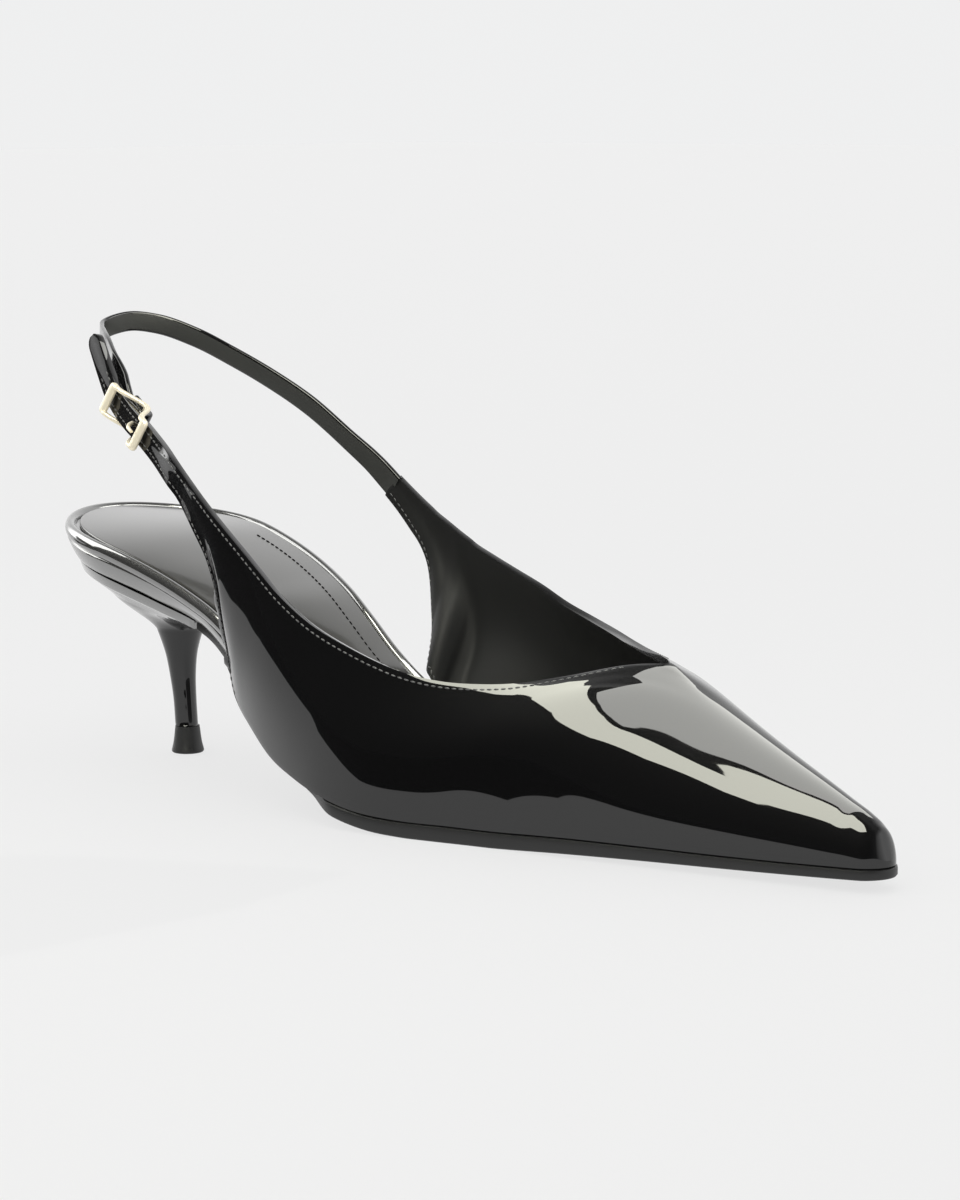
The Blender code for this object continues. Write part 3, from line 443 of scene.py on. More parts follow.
spoke_angle = np.unwrap(np.arctan2(spoke[:, 1], spoke[:, 0]))
order = np.argsort(spoke_angle)
spoke_angle = spoke_angle[order]
spoke_length = np.linalg.norm(spoke, axis=1)[order]
heel_turn = np.linspace(-np.pi, np.pi, HEEL_ROUND, endpoint=False)
heel_reach = np.interp(
    heel_turn,
    np.concatenate([spoke_angle - 2 * np.pi, spoke_angle, spoke_angle + 2 * np.pi]),
    np.tile(spoke_length, 3),
)


def heel_ring(row):
    """One level of the heel: the seat's outline drawn in towards a circle of the row's radius,
    whose height goes from following the sole line to lying flat."""
    blend, radius, shift, drop, height = row
    x = heel_middle[0] + heel_reach * np.cos(heel_turn) * blend
    y = heel_middle[1] + heel_reach * np.sin(heel_turn) * blend
    x = x + (1 - blend) * (shift - heel_middle[0] + radius * np.cos(heel_turn))
    y = y + (1 - blend) * radius * np.sin(heel_turn)
    share = share_of(x)
    keep = min(1.0, max(0.0, blend / 0.6))
    z = (sole_line(share) - drop * SEAT_HEIGHT) * keep + (1 - keep) * height * SEAT_HEIGHT
    return np.column_stack([x, y, z])


def closed_tube(rows, columns):
    """Faces of a grid that closes round its columns, with one flat face over each open end."""
    end = columns * (rows - 1)
    faces = grid_faces(rows, columns, wrap_columns=True).tolist()
    return faces + [list(range(columns)), list(range(end, end + columns))]


heel_rows = fair(np.linspace(0, len(HEEL) - 1, 64), np.arange(len(HEEL)), HEEL)
heel_rows[:, 0] = np.clip(heel_rows[:, 0], 0, 1)
heel_levels = [heel_ring(row) for row in heel_rows]
flange = heel_ring((1.0, 0.0, 0.0, 0.0, 0.0))
flange[:, 2] = sole_top(share_of(flange[:, 0]))
neck = np.column_stack([
    SHAFT * np.cos(heel_turn), SHAFT * np.sin(heel_turn), np.full(HEEL_ROUND, TIP_HEIGHT + 0.0001),
])
heel_points = np.array([flange] + heel_levels + [neck])
heel_faces = closed_tube(len(heel_points), HEEL_ROUND)
patent = surface("black_patent", (0.0025, 0.0025, 0.0027), 0.5, {
    "Specular IOR Level": 0.03, "Coat Weight": 1.0, "Coat Roughness": 0.02, "Coat IOR": 1.6,
})
heel = put("covered_heel", heel_points, heel_faces, [patent, cover], 50)
# The flange's own thin rim wears the footbed's glossy cover.
rimmed = np.zeros(len(heel_faces), int)
rimmed[:HEEL_ROUND * COVERED_BANDS] = 1
heel.data.polygons.foreach_set("material_index", rimmed)
clean_up(heel, smooth_angle=50)
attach(heel, "root")
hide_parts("heel")

# Heel tip. A small flared top piece of hard black rubber, moulded round and fixed under the
# shaft. Its foot is slightly rounded, and the shoe stands on it.
TIP_PROFILE = np.array((
    (0.00405, 0.0000), (0.00433, 0.0004), (0.00418, 0.0012), (0.00385, 0.0026),
    (0.00358, 0.0044), (0.00340, 0.0060), (0.00325, TIP_HEIGHT),
))
rubber = surface("hard_tip_rubber", (0.012, 0.012, 0.012), 0.5)
tip_rows = np.arange(len(TIP_PROFILE))
tip_profile = fair(np.linspace(0, tip_rows[-1], 32), tip_rows, TIP_PROFILE)
tip_turn = np.linspace(0, 2 * np.pi, 96, endpoint=False)
tip_points = np.stack([
    tip_profile[:, :1] * np.cos(tip_turn), tip_profile[:, :1] * np.sin(tip_turn),
    np.repeat(np.maximum(tip_profile[:, 1:], 0), len(tip_turn), 1),
], -1)
tip_faces = closed_tube(len(tip_profile), len(tip_turn))
tip = put("top_piece", tip_points, tip_faces, [rubber], 50)
clean_up(tip, smooth_angle=50)
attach(tip, "root")
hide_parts("heel_tip")

# Upper. Vamp and both wings, lasted in one piece of black patent leather over a matte lining.
# The outer wing runs on as the arm that goes up through the buckle. The top edge is folded over
# and held by one row of stitching.
THROAT = 0.7631
THROAT_RIB = 69
RIB_POINTS = 41
TOE_LENGTH = 0.045
ARM_END = 0.0030
THROAT_HEIGHT = 0.0438
STRAP_HEIGHT = 0.1110
STRAP_WIDTH = 0.0060
STRAP_THICKNESS = 0.0015
# The vamp's middle line ahead of the throat: station and share of the throat's height.
RIDGE = np.array((
    (0.7631, 1.000), (0.7853, 0.918), (0.8224, 0.808), (0.8853, 0.630), (0.9334, 0.500),
    (0.9556, 0.438), (0.9741, 0.386), (0.9852, 0.342), (0.9948, 0.272), (1.0000, 0.160),
))
# Each rib: station of its lower and upper end, the topline's half width and height, the wall's
# slope at the topline and its flare at the sole.
OUTER_WALL = (
    (0.7631, 0.7631, 0.000, 1.000, 0, 2),
    (0.734, 0.734, 0.070, 0.989, 12, 3),
    (0.693, 0.693, 0.172, 0.927, 25, 3),
    (0.648, 0.648, 0.256, 0.868, 41, 2),
    (0.608, 0.615, 0.306, 0.852, 54, 0),
    (0.563, 0.582, 0.351, 0.856, 63, -1),
    (0.519, 0.546, 0.394, 0.895, 69, -1),
    (0.474, 0.498, 0.435, 0.991, 75, 1),
    (0.434, 0.452, 0.456, 1.103, 78, 5),
    (0.393, 0.415, 0.466, 1.237, 80, 9),
    (0.356, 0.386, 0.468, 1.370, 83, 14),
    (0.334, 0.364, 0.467, 1.470, 84, 16),
)
INNER_WALL = (
    (0.7631, 0.7631, 0.000, 1.000, 0, 2),
    (0.734, 0.734, 0.091, 0.984, 14, 3),
    (0.693, 0.693, 0.190, 0.975, 27, 4),
    (0.648, 0.648, 0.281, 0.982, 38, 6),
    (0.608, 0.611, 0.342, 1.005, 48, 6),
    (0.563, 0.567, 0.403, 1.037, 58, 6),
    (0.519, 0.526, 0.433, 1.091, 66, 6),
    (0.474, 0.486, 0.456, 1.169, 74, 10),
    (0.441, 0.452, 0.462, 1.237, 78, 18),
    (0.415, 0.423, 0.462, 1.301, 81, 26),
    (0.398, 0.398, 0.462, 1.360, 83, 30),
)
# The free rear edges: station, half width and height of each rib's lower end, then of its
# upper end on the topline, with the slope and flare there.
OUTER_EDGE = (
    (0.3218, 0.383, 0.630, 0.345, 0.466, 1.555, 84, 12),
    (0.3226, 0.406, 0.833, 0.334, 0.465, 1.604, 84, 8),
    (0.3225, 0.432, 1.050, 0.323, 0.463, 1.650, 85, 4),
    (0.3194, 0.450, 1.251, 0.312, 0.459, 1.696, 85, 0),
    (0.3105, 0.454, 1.393, 0.301, 0.454, 1.742, 84, -3),
    (0.2924, 0.448, 1.530, 0.291, 0.448, 1.783, 83, -5),
    (0.2660, 0.430, 1.690, 0.281, 0.441, 1.826, 82, -7),
)
INNER_EDGE = (
    (0.3910, 0.295, 0.335, 0.393, 0.462, 1.377, 83, 28),
    (0.3865, 0.299, 0.460, 0.385, 0.461, 1.402, 83, 24),
    (0.3816, 0.308, 0.575, 0.377, 0.460, 1.427, 84, 20),
    (0.3764, 0.340, 0.674, 0.368, 0.459, 1.457, 84, 16),
    (0.3697, 0.377, 0.776, 0.359, 0.458, 1.486, 85, 12),
    (0.3605, 0.409, 0.936, 0.350, 0.456, 1.516, 85, 8),
    (0.3486, 0.437, 1.142, 0.341, 0.454, 1.553, 86, 5),
    (0.3338, 0.443, 1.313, 0.332, 0.452, 1.589, 86, 3),
    (0.3179, 0.443, 1.416, 0.323, 0.449, 1.628, 86, 2),
    (0.3016, 0.439, 1.521, 0.313, 0.445, 1.674, 86, 1),
    (0.2880, 0.434, 1.600, 0.303, 0.441, 1.721, 86, 1),
)
# Middle line of the arm: station, half width, height, inward lean in degrees, width.
ARM = np.array((
    (0.2545, -0.418, 0.728, 4, 1.17),
    (0.2250, -0.387, 0.7675, 9, 1.05),
    (0.1970, -0.364, 0.803, 13, 1.00),
    (0.1675, -0.3415, 0.837, 15, 1.00),
    (0.1325, -0.310, 0.892, 11, 1.00),
    (0.1155, -0.295, 0.942, 5, 1.00),
    (0.1015, -0.286, 0.995, 1, 1.00),
))


def length_along(path):
    """Length of a path from its start to each of its points."""
    return np.concatenate([[0], np.cumsum(np.linalg.norm(np.diff(path, axis=0), axis=1))])


def divided(reach, per_span):
    """Places that cut each span between two neighbours into equal parts."""
    spans = [np.linspace(a, b, per_span, endpoint=False) for a, b in zip(reach, reach[1:])]
    return np.concatenate(spans + [[reach[-1]]])


def strap_path(rows, per_span):
    """Points, run, lean and width along a strap, evenly between its rows by length."""
    path = np.column_stack([
        place(rows[:, 0]), rows[:, 1] * BALL_WIDTH, rows[:, 2] * STRAP_HEIGHT,
        rows[:, 3], rows[:, 4] * STRAP_WIDTH,
    ])
    reach = length_along(path[:, :3])
    at = divided(reach, per_span)
    values = fair(at, reach, path)
    run = np.gradient(values[:, :3], at, axis=0)
    return values, run / np.linalg.norm(run, axis=1)[:, None]


def strap_faces(values, run):
    """Width and outward directions along a strap that leans in at its top."""
    across = np.cross(run, (0, 0, 1))
    across /= np.linalg.norm(across, axis=1)[:, None]
    away = np.column_stack([values[:, 0] - 0.010, values[:, 1], np.zeros(len(values))])
    across *= np.where((across * away).sum(1) < 0, -1, 1)[:, None]
    upright = np.cross(run, across)
    upright *= np.where(upright[:, 2] < 0, -1, 1)[:, None]
    lean_in = np.radians(values[:, 3])[:, None]
    up = upright * np.cos(lean_in) - across * np.sin(lean_in)
    out = across * np.cos(lean_in) + upright * np.sin(lean_in)
    return up, out


def sole_joint(side, sign, at):
    """Where the upper's outer face ends: at the feather line, a gap over what lies under it."""
    lifted = last("sole", at) * SOLE_THICKNESS * ease(at, LIFT_START, TUCK_END)
    return np.column_stack([place(at), sign * feather(side, at), sole_line(at) + lifted + GAP])


def wall_points(rows, sign):
    """Points from stations, shares of the ball's width and shares of the throat's height."""
    return np.column_stack([
        place(rows[:, 0]), sign * rows[:, 1] * BALL_WIDTH, rows[:, 2] * THROAT_HEIGHT,
    ])


def rib_rows(side, sign, wall, edge, arm):
    """All ribs of one side, from the toe to the wing's end: both ends, slope and flare."""
    tail = 1 - TOE_LENGTH * (1 - np.cos(np.linspace(0, np.pi / 2, 30)))
    body = np.linspace(tail[-1], THROAT, THROAT_RIB - len(tail) + 1)[1:]
    toe = np.concatenate([tail, body])
    low = sole_joint(side, sign, toe)
    ridge = np.maximum(fair(toe, RIDGE[:, 0], RIDGE[:, 1]) * THROAT_HEIGHT, low[:, 2] + 0.0005)
    top = np.column_stack([place(toe), 0 * toe, ridge])
    toe_rows = np.column_stack([low, top, np.zeros((len(toe), 1)), np.full(len(toe), 2.0)])
    wall = np.array(wall)
    edge = np.array(edge)
    low = sole_joint(side, sign, wall[:, 0])
    rows = [
        np.column_stack([low, wall_points(wall[:, 1:], sign), wall[:, 4:]]),
        np.column_stack([wall_points(edge, sign), wall_points(edge[:, 3:], sign), edge[:, 6:]]),
    ]
    if arm is not None:
        values, run = strap_path(arm, 1)
        up, out = strap_faces(values, run)
        face = values[:, :3] + out * STRAP_THICKNESS / 2
        half = up * values[:, 4:5] / 2
        rows.append(np.column_stack([face - half, face + half, 90 - values[:, 3], -values[:, 3]]))
    rows = np.concatenate(rows)
    reach = length_along((rows[:, :3] + rows[:, 3:6]) / 2)
    fine = fair(divided(reach, 7), reach, rows)
    return np.concatenate([toe_rows, fine[1:]])


def rib_surface(rows, sign, t):
    """Points up every rib: a cubic curve from the sole to the topline. Its second control point
    stands over the first, turned by the flare, and its third lies out from the last, turned down
    by the slope."""
    low = rows[:, None, :3]
    top = rows[:, None, 3:6]
    slope = np.radians(rows[:, 6])
    flare = np.radians(rows[:, 7])
    rise = np.linalg.norm(rows[:, 3:6] - rows[:, :3], axis=1)
    height = rows[:, 5] - rows[:, 2]
    side_way = np.abs(rows[:, 4] - rows[:, 1]) * np.cos(slope) + height * np.sin(slope)
    up = np.column_stack([0 * flare, sign * np.sin(flare), np.cos(flare)])
    out = np.column_stack([0 * slope, sign * np.cos(slope), -np.sin(slope)])
    ahead = (top - low) * (1 / 3, 0, 0)
    a = low + (up * np.minimum(height * 0.55, rise * 0.5)[:, None])[:, None] + ahead
    b = top + (out * np.minimum(side_way * 0.55, rise * 0.5)[:, None])[:, None] - ahead
    t = np.asarray(t)[None, :, None]
    s = 1 - t
    return low * s ** 3 + 3 * a * s * s * t + 3 * b * s * t * t + top * t ** 3


UP = np.linspace(0, 1, RIB_POINTS)


def pull_smooth(skin, row, reach, passes):
    """Leather stretched over the last: near a row, points move to the mean of their neighbours
    along the shoe, and the two edges stay where they are."""
    near = np.exp(-(((np.arange(len(skin)) - row) / reach) ** 2))[:, None, None]
    inside = np.clip(np.minimum(UP, 1 - UP) / 0.12, 0, 1)[None, :, None]
    for step in range(passes):
        mean = skin.copy()
        mean[1:-1] = (skin[:-2] + skin[2:]) / 2
        skin = skin + (mean - skin) * near * inside * 0.9
    return skin


LEVEL_RIBS = 14
outer_rows = rib_rows("out", -1, OUTER_WALL, OUTER_EDGE, ARM)
inner_rows = rib_rows("in", 1, INNER_WALL, INNER_EDGE, None)
outer_skin = pull_smooth(rib_surface(outer_rows, -1, UP), THROAT_RIB, LEVEL_RIBS, 60)
inner_skin = pull_smooth(rib_surface(inner_rows, 1, UP), THROAT_RIB, LEVEL_RIBS, 60)
# The arm's end, drawn in over a few ribs to a rounded tip.
tail_end = outer_skin[-1]
tail_middle = tail_end.mean(0)
tail_run = tail_middle - outer_skin[-2].mean(0)
tail_run /= np.linalg.norm(tail_run)
tail_caps = []
for angle in np.radians((18, 34, 50, 64, 75)):
    shift = tail_run * ARM_END * math.sin(angle)
    tail_caps.append(tail_middle + shift + (tail_end - tail_middle) * math.cos(angle) ** 0.8)
outer_skin = np.concatenate([outer_skin, np.array(tail_caps)])
skin_points = np.concatenate([outer_skin.reshape(-1, 3), inner_skin.reshape(-1, 3)])
skin_faces = np.concatenate([
    grid_faces(len(outer_skin), RIB_POINTS)[:, ::-1],
    grid_faces(len(inner_skin), RIB_POINTS) + len(outer_skin) * RIB_POINTS,
])
lining = surface("matte_lining", (0.009, 0.009, 0.0085), 0.55, {"Specular IOR Level": 0.25})
upper = put("lasted_upper", skin_points, skin_faces.tolist(), [patent, lining, patent], 180)
clean_up(upper, 0.00002, middle=Vector((0.09, 0, 0.02)))
wall = upper.modifiers.new("wall", "SOLIDIFY")
wall.thickness = WALL
wall.offset = -1
wall.material_offset = 1
wall.material_offset_rim = 2
edge = upper.modifiers.new("folded_edge", "BEVEL")
edge.width = 0.0006
edge.segments = 3
edge.limit_method = "ANGLE"
edge.angle_limit = math.radians(60)
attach(upper, "root")
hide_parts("upper")

# Heel strap. The same patent leather, sewn to the end of the inner wing. It goes round the back
# of the heel, down the inside of the arm, and is turned back round the buckle's centre bar.
# Its middle line has the arm's columns.
SLING = np.array((
    (0.2991, 0.4289, 0.6492, 4, 1.20),
    (0.2947, 0.4285, 0.6575, 4, 1.18),
    (0.2700, 0.418, 0.7070, 4, 1.05),
    (0.2440, 0.402, 0.752, 4, 0.96),
    (0.1930, 0.372, 0.836, 4, 0.94),
    (0.1490, 0.341, 0.893, 4, 0.92),
    (0.1040, 0.301, 0.945, 3, 0.90),
    (0.0625, 0.254, 0.990, 2, 0.90),
    (0.0275, 0.184, 1.021, 0, 0.90),
    (0.0110, 0.120, 1.028, 0, 0.90),
    (0.0068, 0.055, 1.021, 0, 0.90),
    (0.0105, 0.000, 1.012, 0, 0.90),
    (0.0240, -0.045, 1.0045, 2, 0.92),
    (0.0490, -0.110, 0.9965, 6, 0.94),
    (0.0780, -0.180, 0.984, 10, 0.96),
    (0.1050, -0.236, 0.957, 13, 0.98),
))
BUCKLE_STEP = 9
BAR_LEVEL = -0.0034
FRAME_LEVEL = 0.0020
BAR_RADIUS = 0.0007
FOLD_BACK = 0.0080
# The strap's way to the centre bar, inside the arm: along the buckle, across it and inward.
LEAD_IN = np.array((
    (-0.0128, 0.0031, 0.0007),
    (-0.0093, 0.0021, 0.0002),
    (-0.0062, 0.0010, 0.0000),
    (-0.0040, 0.0002, 0.0000),
    (-0.0018, 0.0000, 0.0000),
))
arm_values, arm_run = strap_path(ARM, 3)
arm_up = strap_faces(arm_values, arm_run)[0]
buckle_at = arm_values[BUCKLE_STEP, :3]
buckle_run = -arm_run[BUCKLE_STEP]
buckle_across = arm_up[BUCKLE_STEP] - buckle_run * arm_up[BUCKLE_STEP].dot(buckle_run)
buckle_across /= np.linalg.norm(buckle_across)
buckle_out = np.cross(buckle_across, buckle_run)
if buckle_out[1] > 0:
    buckle_out = -buckle_out


def in_buckle(along, across, out):
    """Points given along the arm towards the toe, across it and outward, from the buckle."""
    along, across, out = np.broadcast_arrays(along, across, out)
    return (
        buckle_at + along[..., None] * buckle_run + across[..., None] * buckle_across
        + out[..., None] * buckle_out
    )


def round_cornered(half_long, half_wide, corner, per_corner):
    """Marks round a rectangle with rounded corners: so many on the arc at each of them."""
    marks = []
    for sx, sy, start in ((1, 1, 0), (-1, 1, 90), (-1, -1, 180), (1, -1, 270)):
        angle = np.radians(start + np.linspace(0, 90, per_corner))
        marks.append(np.column_stack([
            sx * (half_long - corner) + corner * np.cos(angle),
            sy * (half_wide - corner) + corner * np.sin(angle),
        ]))
    return np.concatenate(marks)


def strap_ring(width, thickness):
    """Marks round a strap's section: flat faces and well-rounded edges."""
    return round_cornered(width / 2, thickness / 2, thickness * 0.42, 5)


# The flat inner face of that section lies between its third and fourth corner.
INNER_FACE = 14


def strip_along(name, middle, up, out, width, thickness, materials, smooth_angle=50):
    """A flat strip: its rounded section carried along a path, with closed ends. A second
    material goes on its inner face."""
    sections = []
    for k in range(len(middle)):
        marks = strap_ring(width[k], thickness)
        sections.append(middle[k] + marks[:, :1] * up[k] + marks[:, 1:] * out[k])
    points = np.array(sections)
    size = points.shape[1]
    faces = closed_tube(len(points), size)
    made = put(name, points, faces, materials, smooth_angle)
    if len(materials) > 1:
        side = np.zeros(len(faces), int)
        side[INNER_FACE:size * len(points) - size:size] = 1
        made.data.polygons.foreach_set("material_index", side)
    clean_up(made, smooth_angle=smooth_angle)
    return made


sling_values, sling_run = strap_path(SLING, 8)
sling_up, sling_out = strap_faces(sling_values, sling_run)
fold = BAR_RADIUS + GAP / 2 + STRAP_THICKNESS / 2
fold_turn = np.linspace(0, np.pi, 25)
turned_back = np.linspace(-0.0012, -FOLD_BACK, 6)
flat = np.zeros(len(fold_turn) + len(turned_back))
fold_angle = np.r_[0 * LEAD_IN[:, 0], fold_turn, np.pi + 0 * turned_back]
fold_along = np.r_[LEAD_IN[:, 0], fold * np.sin(fold_turn), turned_back]
fold_across = np.r_[LEAD_IN[:, 1], flat]
fold_out = BAR_LEVEL + fold * np.cos(fold_angle) - np.r_[LEAD_IN[:, 2], flat]
fold_points = in_buckle(fold_along, fold_across, fold_out)
fold_normal = np.sin(fold_angle)[:, None] * buckle_run + np.cos(fold_angle)[:, None] * buckle_out
end_width = SLING[-1, 4] * STRAP_WIDTH
sling_middle = np.concatenate([sling_values[:, :3], fold_points])
sling_ups = np.concatenate([sling_up, np.tile(buckle_across, (len(fold_points), 1))])
sling_outs = np.concatenate([sling_out, fold_normal])
sling_width = np.concatenate([sling_values[:, 4], np.full(len(fold_points), end_width)])
leg = length_along(sling_middle)
join = len(sling_values)
keep = np.r_[0:join - 1, join:len(sling_middle)]
even = np.concatenate([np.linspace(0, leg[join], 150), leg[join + 1:]])
sling_table = np.column_stack([sling_middle, sling_ups, sling_outs, sling_width])
track = fair(even, leg[keep], sling_table[keep])
track_up = track[:, 3:6] / np.linalg.norm(track[:, 3:6], axis=1)[:, None]
track_out = track[:, 6:9] - track_up * (track[:, 6:9] * track_up).sum(1)[:, None]
track_out /= np.linalg.norm(track_out, axis=1)[:, None]
backing = surface("strap_backing", (0.045, 0.046, 0.040), 0.42, {"Specular IOR Level": 0.4})
sling = strip_along(
    "heel_strap", track[:, :3], track_up, track_out, track[:, 9], STRAP_THICKNESS,
    [patent, backing],
)
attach(sling, "root")
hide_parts("sling_strap")

# Buckle. Cast and plated in pale gold: the two end bars lie on the arm, and the side bars dip
# past its edges to the centre bar, which holds the strap's fold and the prong.
BUCKLE_LENGTH = 0.0212
BAR_WIDTH = 0.0027
BAR_THICKNESS = 0.0018
SIDE_WIDTH = 0.0012
inner_half = STRAP_WIDTH / 2 + GAP
gold = surface("pale_gold_plate", (1.0, 0.91, 0.69), 0.34, {"Metallic": 0.2})


def rounded_box(half_long, half_wide, corner, count=160):
    """A rectangle with rounded corners, as points at even steps of its length."""
    marks = round_cornered(half_long, half_wide, corner, 12)
    loop = np.vstack([marks, marks[:1]])
    reach = length_along(loop)
    at = np.linspace(0, reach[-1], count, endpoint=False)
    return np.column_stack([np.interp(at, reach, loop[:, 0]), np.interp(at, reach, loop[:, 1])])


frame_outer = rounded_box(BUCKLE_LENGTH / 2, inner_half + SIDE_WIDTH, 0.0014)
bar_start = BUCKLE_LENGTH / 2 - BAR_WIDTH
frame_inner = np.clip(frame_outer, (-bar_start, -inner_half), (bar_start, inner_half))
section = strap_ring(1.0, 1.0)
section = np.column_stack([section[:, 0] + 0.5, section[:, 1]])
frame_xy = frame_outer[:, None] + (frame_inner - frame_outer)[:, None] * section[None, :, :1]
dip = ease(np.abs(frame_xy[..., 0]), 0.0, bar_start)
frame_level = BAR_LEVEL + (FRAME_LEVEL - BAR_LEVEL) * dip + section[None, :, 1] * BAR_THICKNESS
frame_points = in_buckle(frame_xy[..., 0], frame_xy[..., 1], frame_level)
frame_faces = grid_faces(len(frame_points), len(section), wrap_rows=True, wrap_columns=True)
buckle = put("buckle_bars", frame_points, frame_faces.tolist(), [gold], 60)
clean_up(buckle, 0.000002, smooth_angle=60)
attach(buckle, "root")
bar_turn = np.linspace(0, 2 * np.pi, 32, endpoint=False)
bar_reach = np.array((-1, 1))[:, None] * (inner_half + SIDE_WIDTH * 0.5)
bar_points = in_buckle(
    BAR_RADIUS * np.cos(bar_turn)[None], bar_reach, BAR_LEVEL + BAR_RADIUS * np.sin(bar_turn)[None],
)
centre_bar = put("centre_bar", bar_points, closed_tube(2, len(bar_turn)), [gold], 60)
clean_up(centre_bar, 0.000002)
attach(centre_bar, "root")
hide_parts("buckle_frame")
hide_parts("buckle_frame")

# Prong. A flat gold pin, bent round the centre bar and up through a hole in the arm, with its
# end resting on the far bar. Its middle line is given along the buckle and outward.
PRONG_WIDTH = 0.0012
PRONG_THICKNESS = 0.0009
PRONG = np.array((
    (-0.0005, -0.00470), (-0.0011, -0.00415), (-0.0013, -0.00340), (-0.0010, -0.00250),
    (-0.0002, -0.00205), (0.0008, -0.00190), (0.0017, -0.00115), (0.0025, 0.00000),
    (0.0034, 0.00130), (0.0045, 0.00260), (0.0058, 0.00335), (0.0070, 0.00355),
    (0.0080, 0.00350),
))
pin_rows = np.arange(len(PRONG))
pin = fair(np.linspace(0, pin_rows[-1], 90), pin_rows, PRONG)
pin_run = np.gradient(pin, axis=0)
pin_run /= np.linalg.norm(pin_run, axis=1)[:, None]
pin_middle = in_buckle(pin[:, 0], 0 * pin[:, 0], pin[:, 1])
pin_normal = pin_run[:, :1] * buckle_out - pin_run[:, 1:] * buckle_run
pin_width = PRONG_WIDTH * (1 - 0.35 * np.clip((pin[:, 0] - 0.004) / 0.004, 0, 1))
pin_across = np.tile(buckle_across, (len(pin), 1))
prong = strip_along(
    "prong", pin_middle, pin_across, pin_normal, pin_width, PRONG_THICKNESS, [gold],
)
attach(prong, "root")
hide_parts("buckle_prong")

# Stitching. Black bonded thread in one row just inside the folded edges: along the topline and
# the arm, down the wings' rear edges, and in a duller thread along the sock. Each stitch is a
# short round grain that stands up from its needle holes.
thread = surface("black_thread", (0.09, 0.09, 0.088), 0.34)
dull = surface("dull_black_thread", (0.004, 0.004, 0.004), 0.9, {"Specular IOR Level": 0.05})
# Each kind of stitch: pitch, length, width and height.
TOPLINE_STITCH = (0.0018, 0.0013, 0.00045, 0.00022)
REAR_STITCH = (0.0018, 0.0013, 0.00040, 0.00015)
SOCK_STITCH = (0.0020, 0.0015, 0.00055, 0.00022)
# How far each row lies in from the edge.
TOPLINE_MARGIN = 0.0015
OUTER_REAR_MARGIN = 0.0013
INNER_REAR_MARGIN = 0.0016
SOCK_MARGIN = 0.0098


def stitch_row(name, piece, line, normal, pitch, length, width, height, sewn_with=thread):
    """Stitches along a line on a surface: each is a small ellipsoid, half sunk in the leather."""
    reach = length_along(line)
    at = np.arange(pitch * 0.5, reach[-1], pitch)
    spot = np.column_stack([np.interp(at, reach, line[:, k]) for k in range(3)])
    facing = np.column_stack([np.interp(at, reach, normal[:, k]) for k in range(3)])
    facing /= np.linalg.norm(facing, axis=1)[:, None]
    ahead = np.column_stack([np.interp(at + 0.0002, reach, line[:, k]) for k in range(3)]) - spot
    ahead /= np.maximum(np.linalg.norm(ahead, axis=1)[:, None], 1e-9)
    across = np.cross(facing, ahead)
    polar = np.linspace(0, np.pi, 7)[:, None]
    around = np.linspace(0, 2 * np.pi, 8, endpoint=False)[None]
    grain = np.stack(np.broadcast_arrays(
        np.cos(polar) * length / 2,
        np.sin(polar) * np.cos(around) * width / 2,
        np.sin(polar) * np.sin(around) * height,
    ), -1)[None]
    spot, ahead, across, facing = (v[:, None, None] for v in (spot, ahead, across, facing))
    points = spot + grain[..., :1] * ahead + grain[..., 1:2] * across + grain[..., 2:] * facing
    one = grid_faces(polar.size, around.size, wrap_columns=True)
    first_points = np.arange(len(at)) * polar.size * around.size
    faces = (one[None] + first_points[:, None, None]).reshape(-1, 4)
    made = put(name, points, faces.tolist(), [sewn_with], 180)
    clean_up(made, 0.000001)
    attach(made, "root")


def skin_line(skin, rows_at, up_at):
    """Points and outward normals on a grid of ribs, at fractional places along and up it."""
    r = np.clip(rows_at, 0, len(skin) - 1.001)
    c = np.clip(up_at, 0, skin.shape[1] - 1.001)
    i, j = r.astype(int), c.astype(int)
    fr, fc = (r - i)[:, None], (c - j)[:, None]
    spot = (
        skin[i, j] * (1 - fr) * (1 - fc) + skin[i + 1, j] * fr * (1 - fc)
        + skin[i, j + 1] * (1 - fr) * fc + skin[i + 1, j + 1] * fr * fc
    )
    normal = np.cross(skin[i + 1, j] - skin[i, j], skin[i, j + 1] - skin[i, j])
    normal /= np.maximum(np.linalg.norm(normal, axis=1)[:, None], 1e-12)
    away = spot - (0.03, 0, 0.02)
    away[:, 0] = 0
    normal *= np.where((normal * away).sum(1) < 0, -1, 1)[:, None]
    return spot, normal


def edge_line(skin, first, last_row, margin, from_top=True):
    """A line at a margin from the upper (or lower) end of the ribs between two rows."""
    rows = np.linspace(first, last_row, 400)
    i = np.clip(rows.astype(int), 0, len(skin) - 1)
    lengths = np.linalg.norm(np.diff(skin, axis=1), axis=2)
    if from_top:
        lengths = lengths[:, ::-1]
    reach = np.column_stack([np.zeros(len(lengths)), np.cumsum(lengths, axis=1)])
    count = np.array([np.interp(margin, reach[k], np.arange(RIB_POINTS)) for k in i])
    return skin_line(skin, rows, RIB_POINTS - 1 - count if from_top else count)


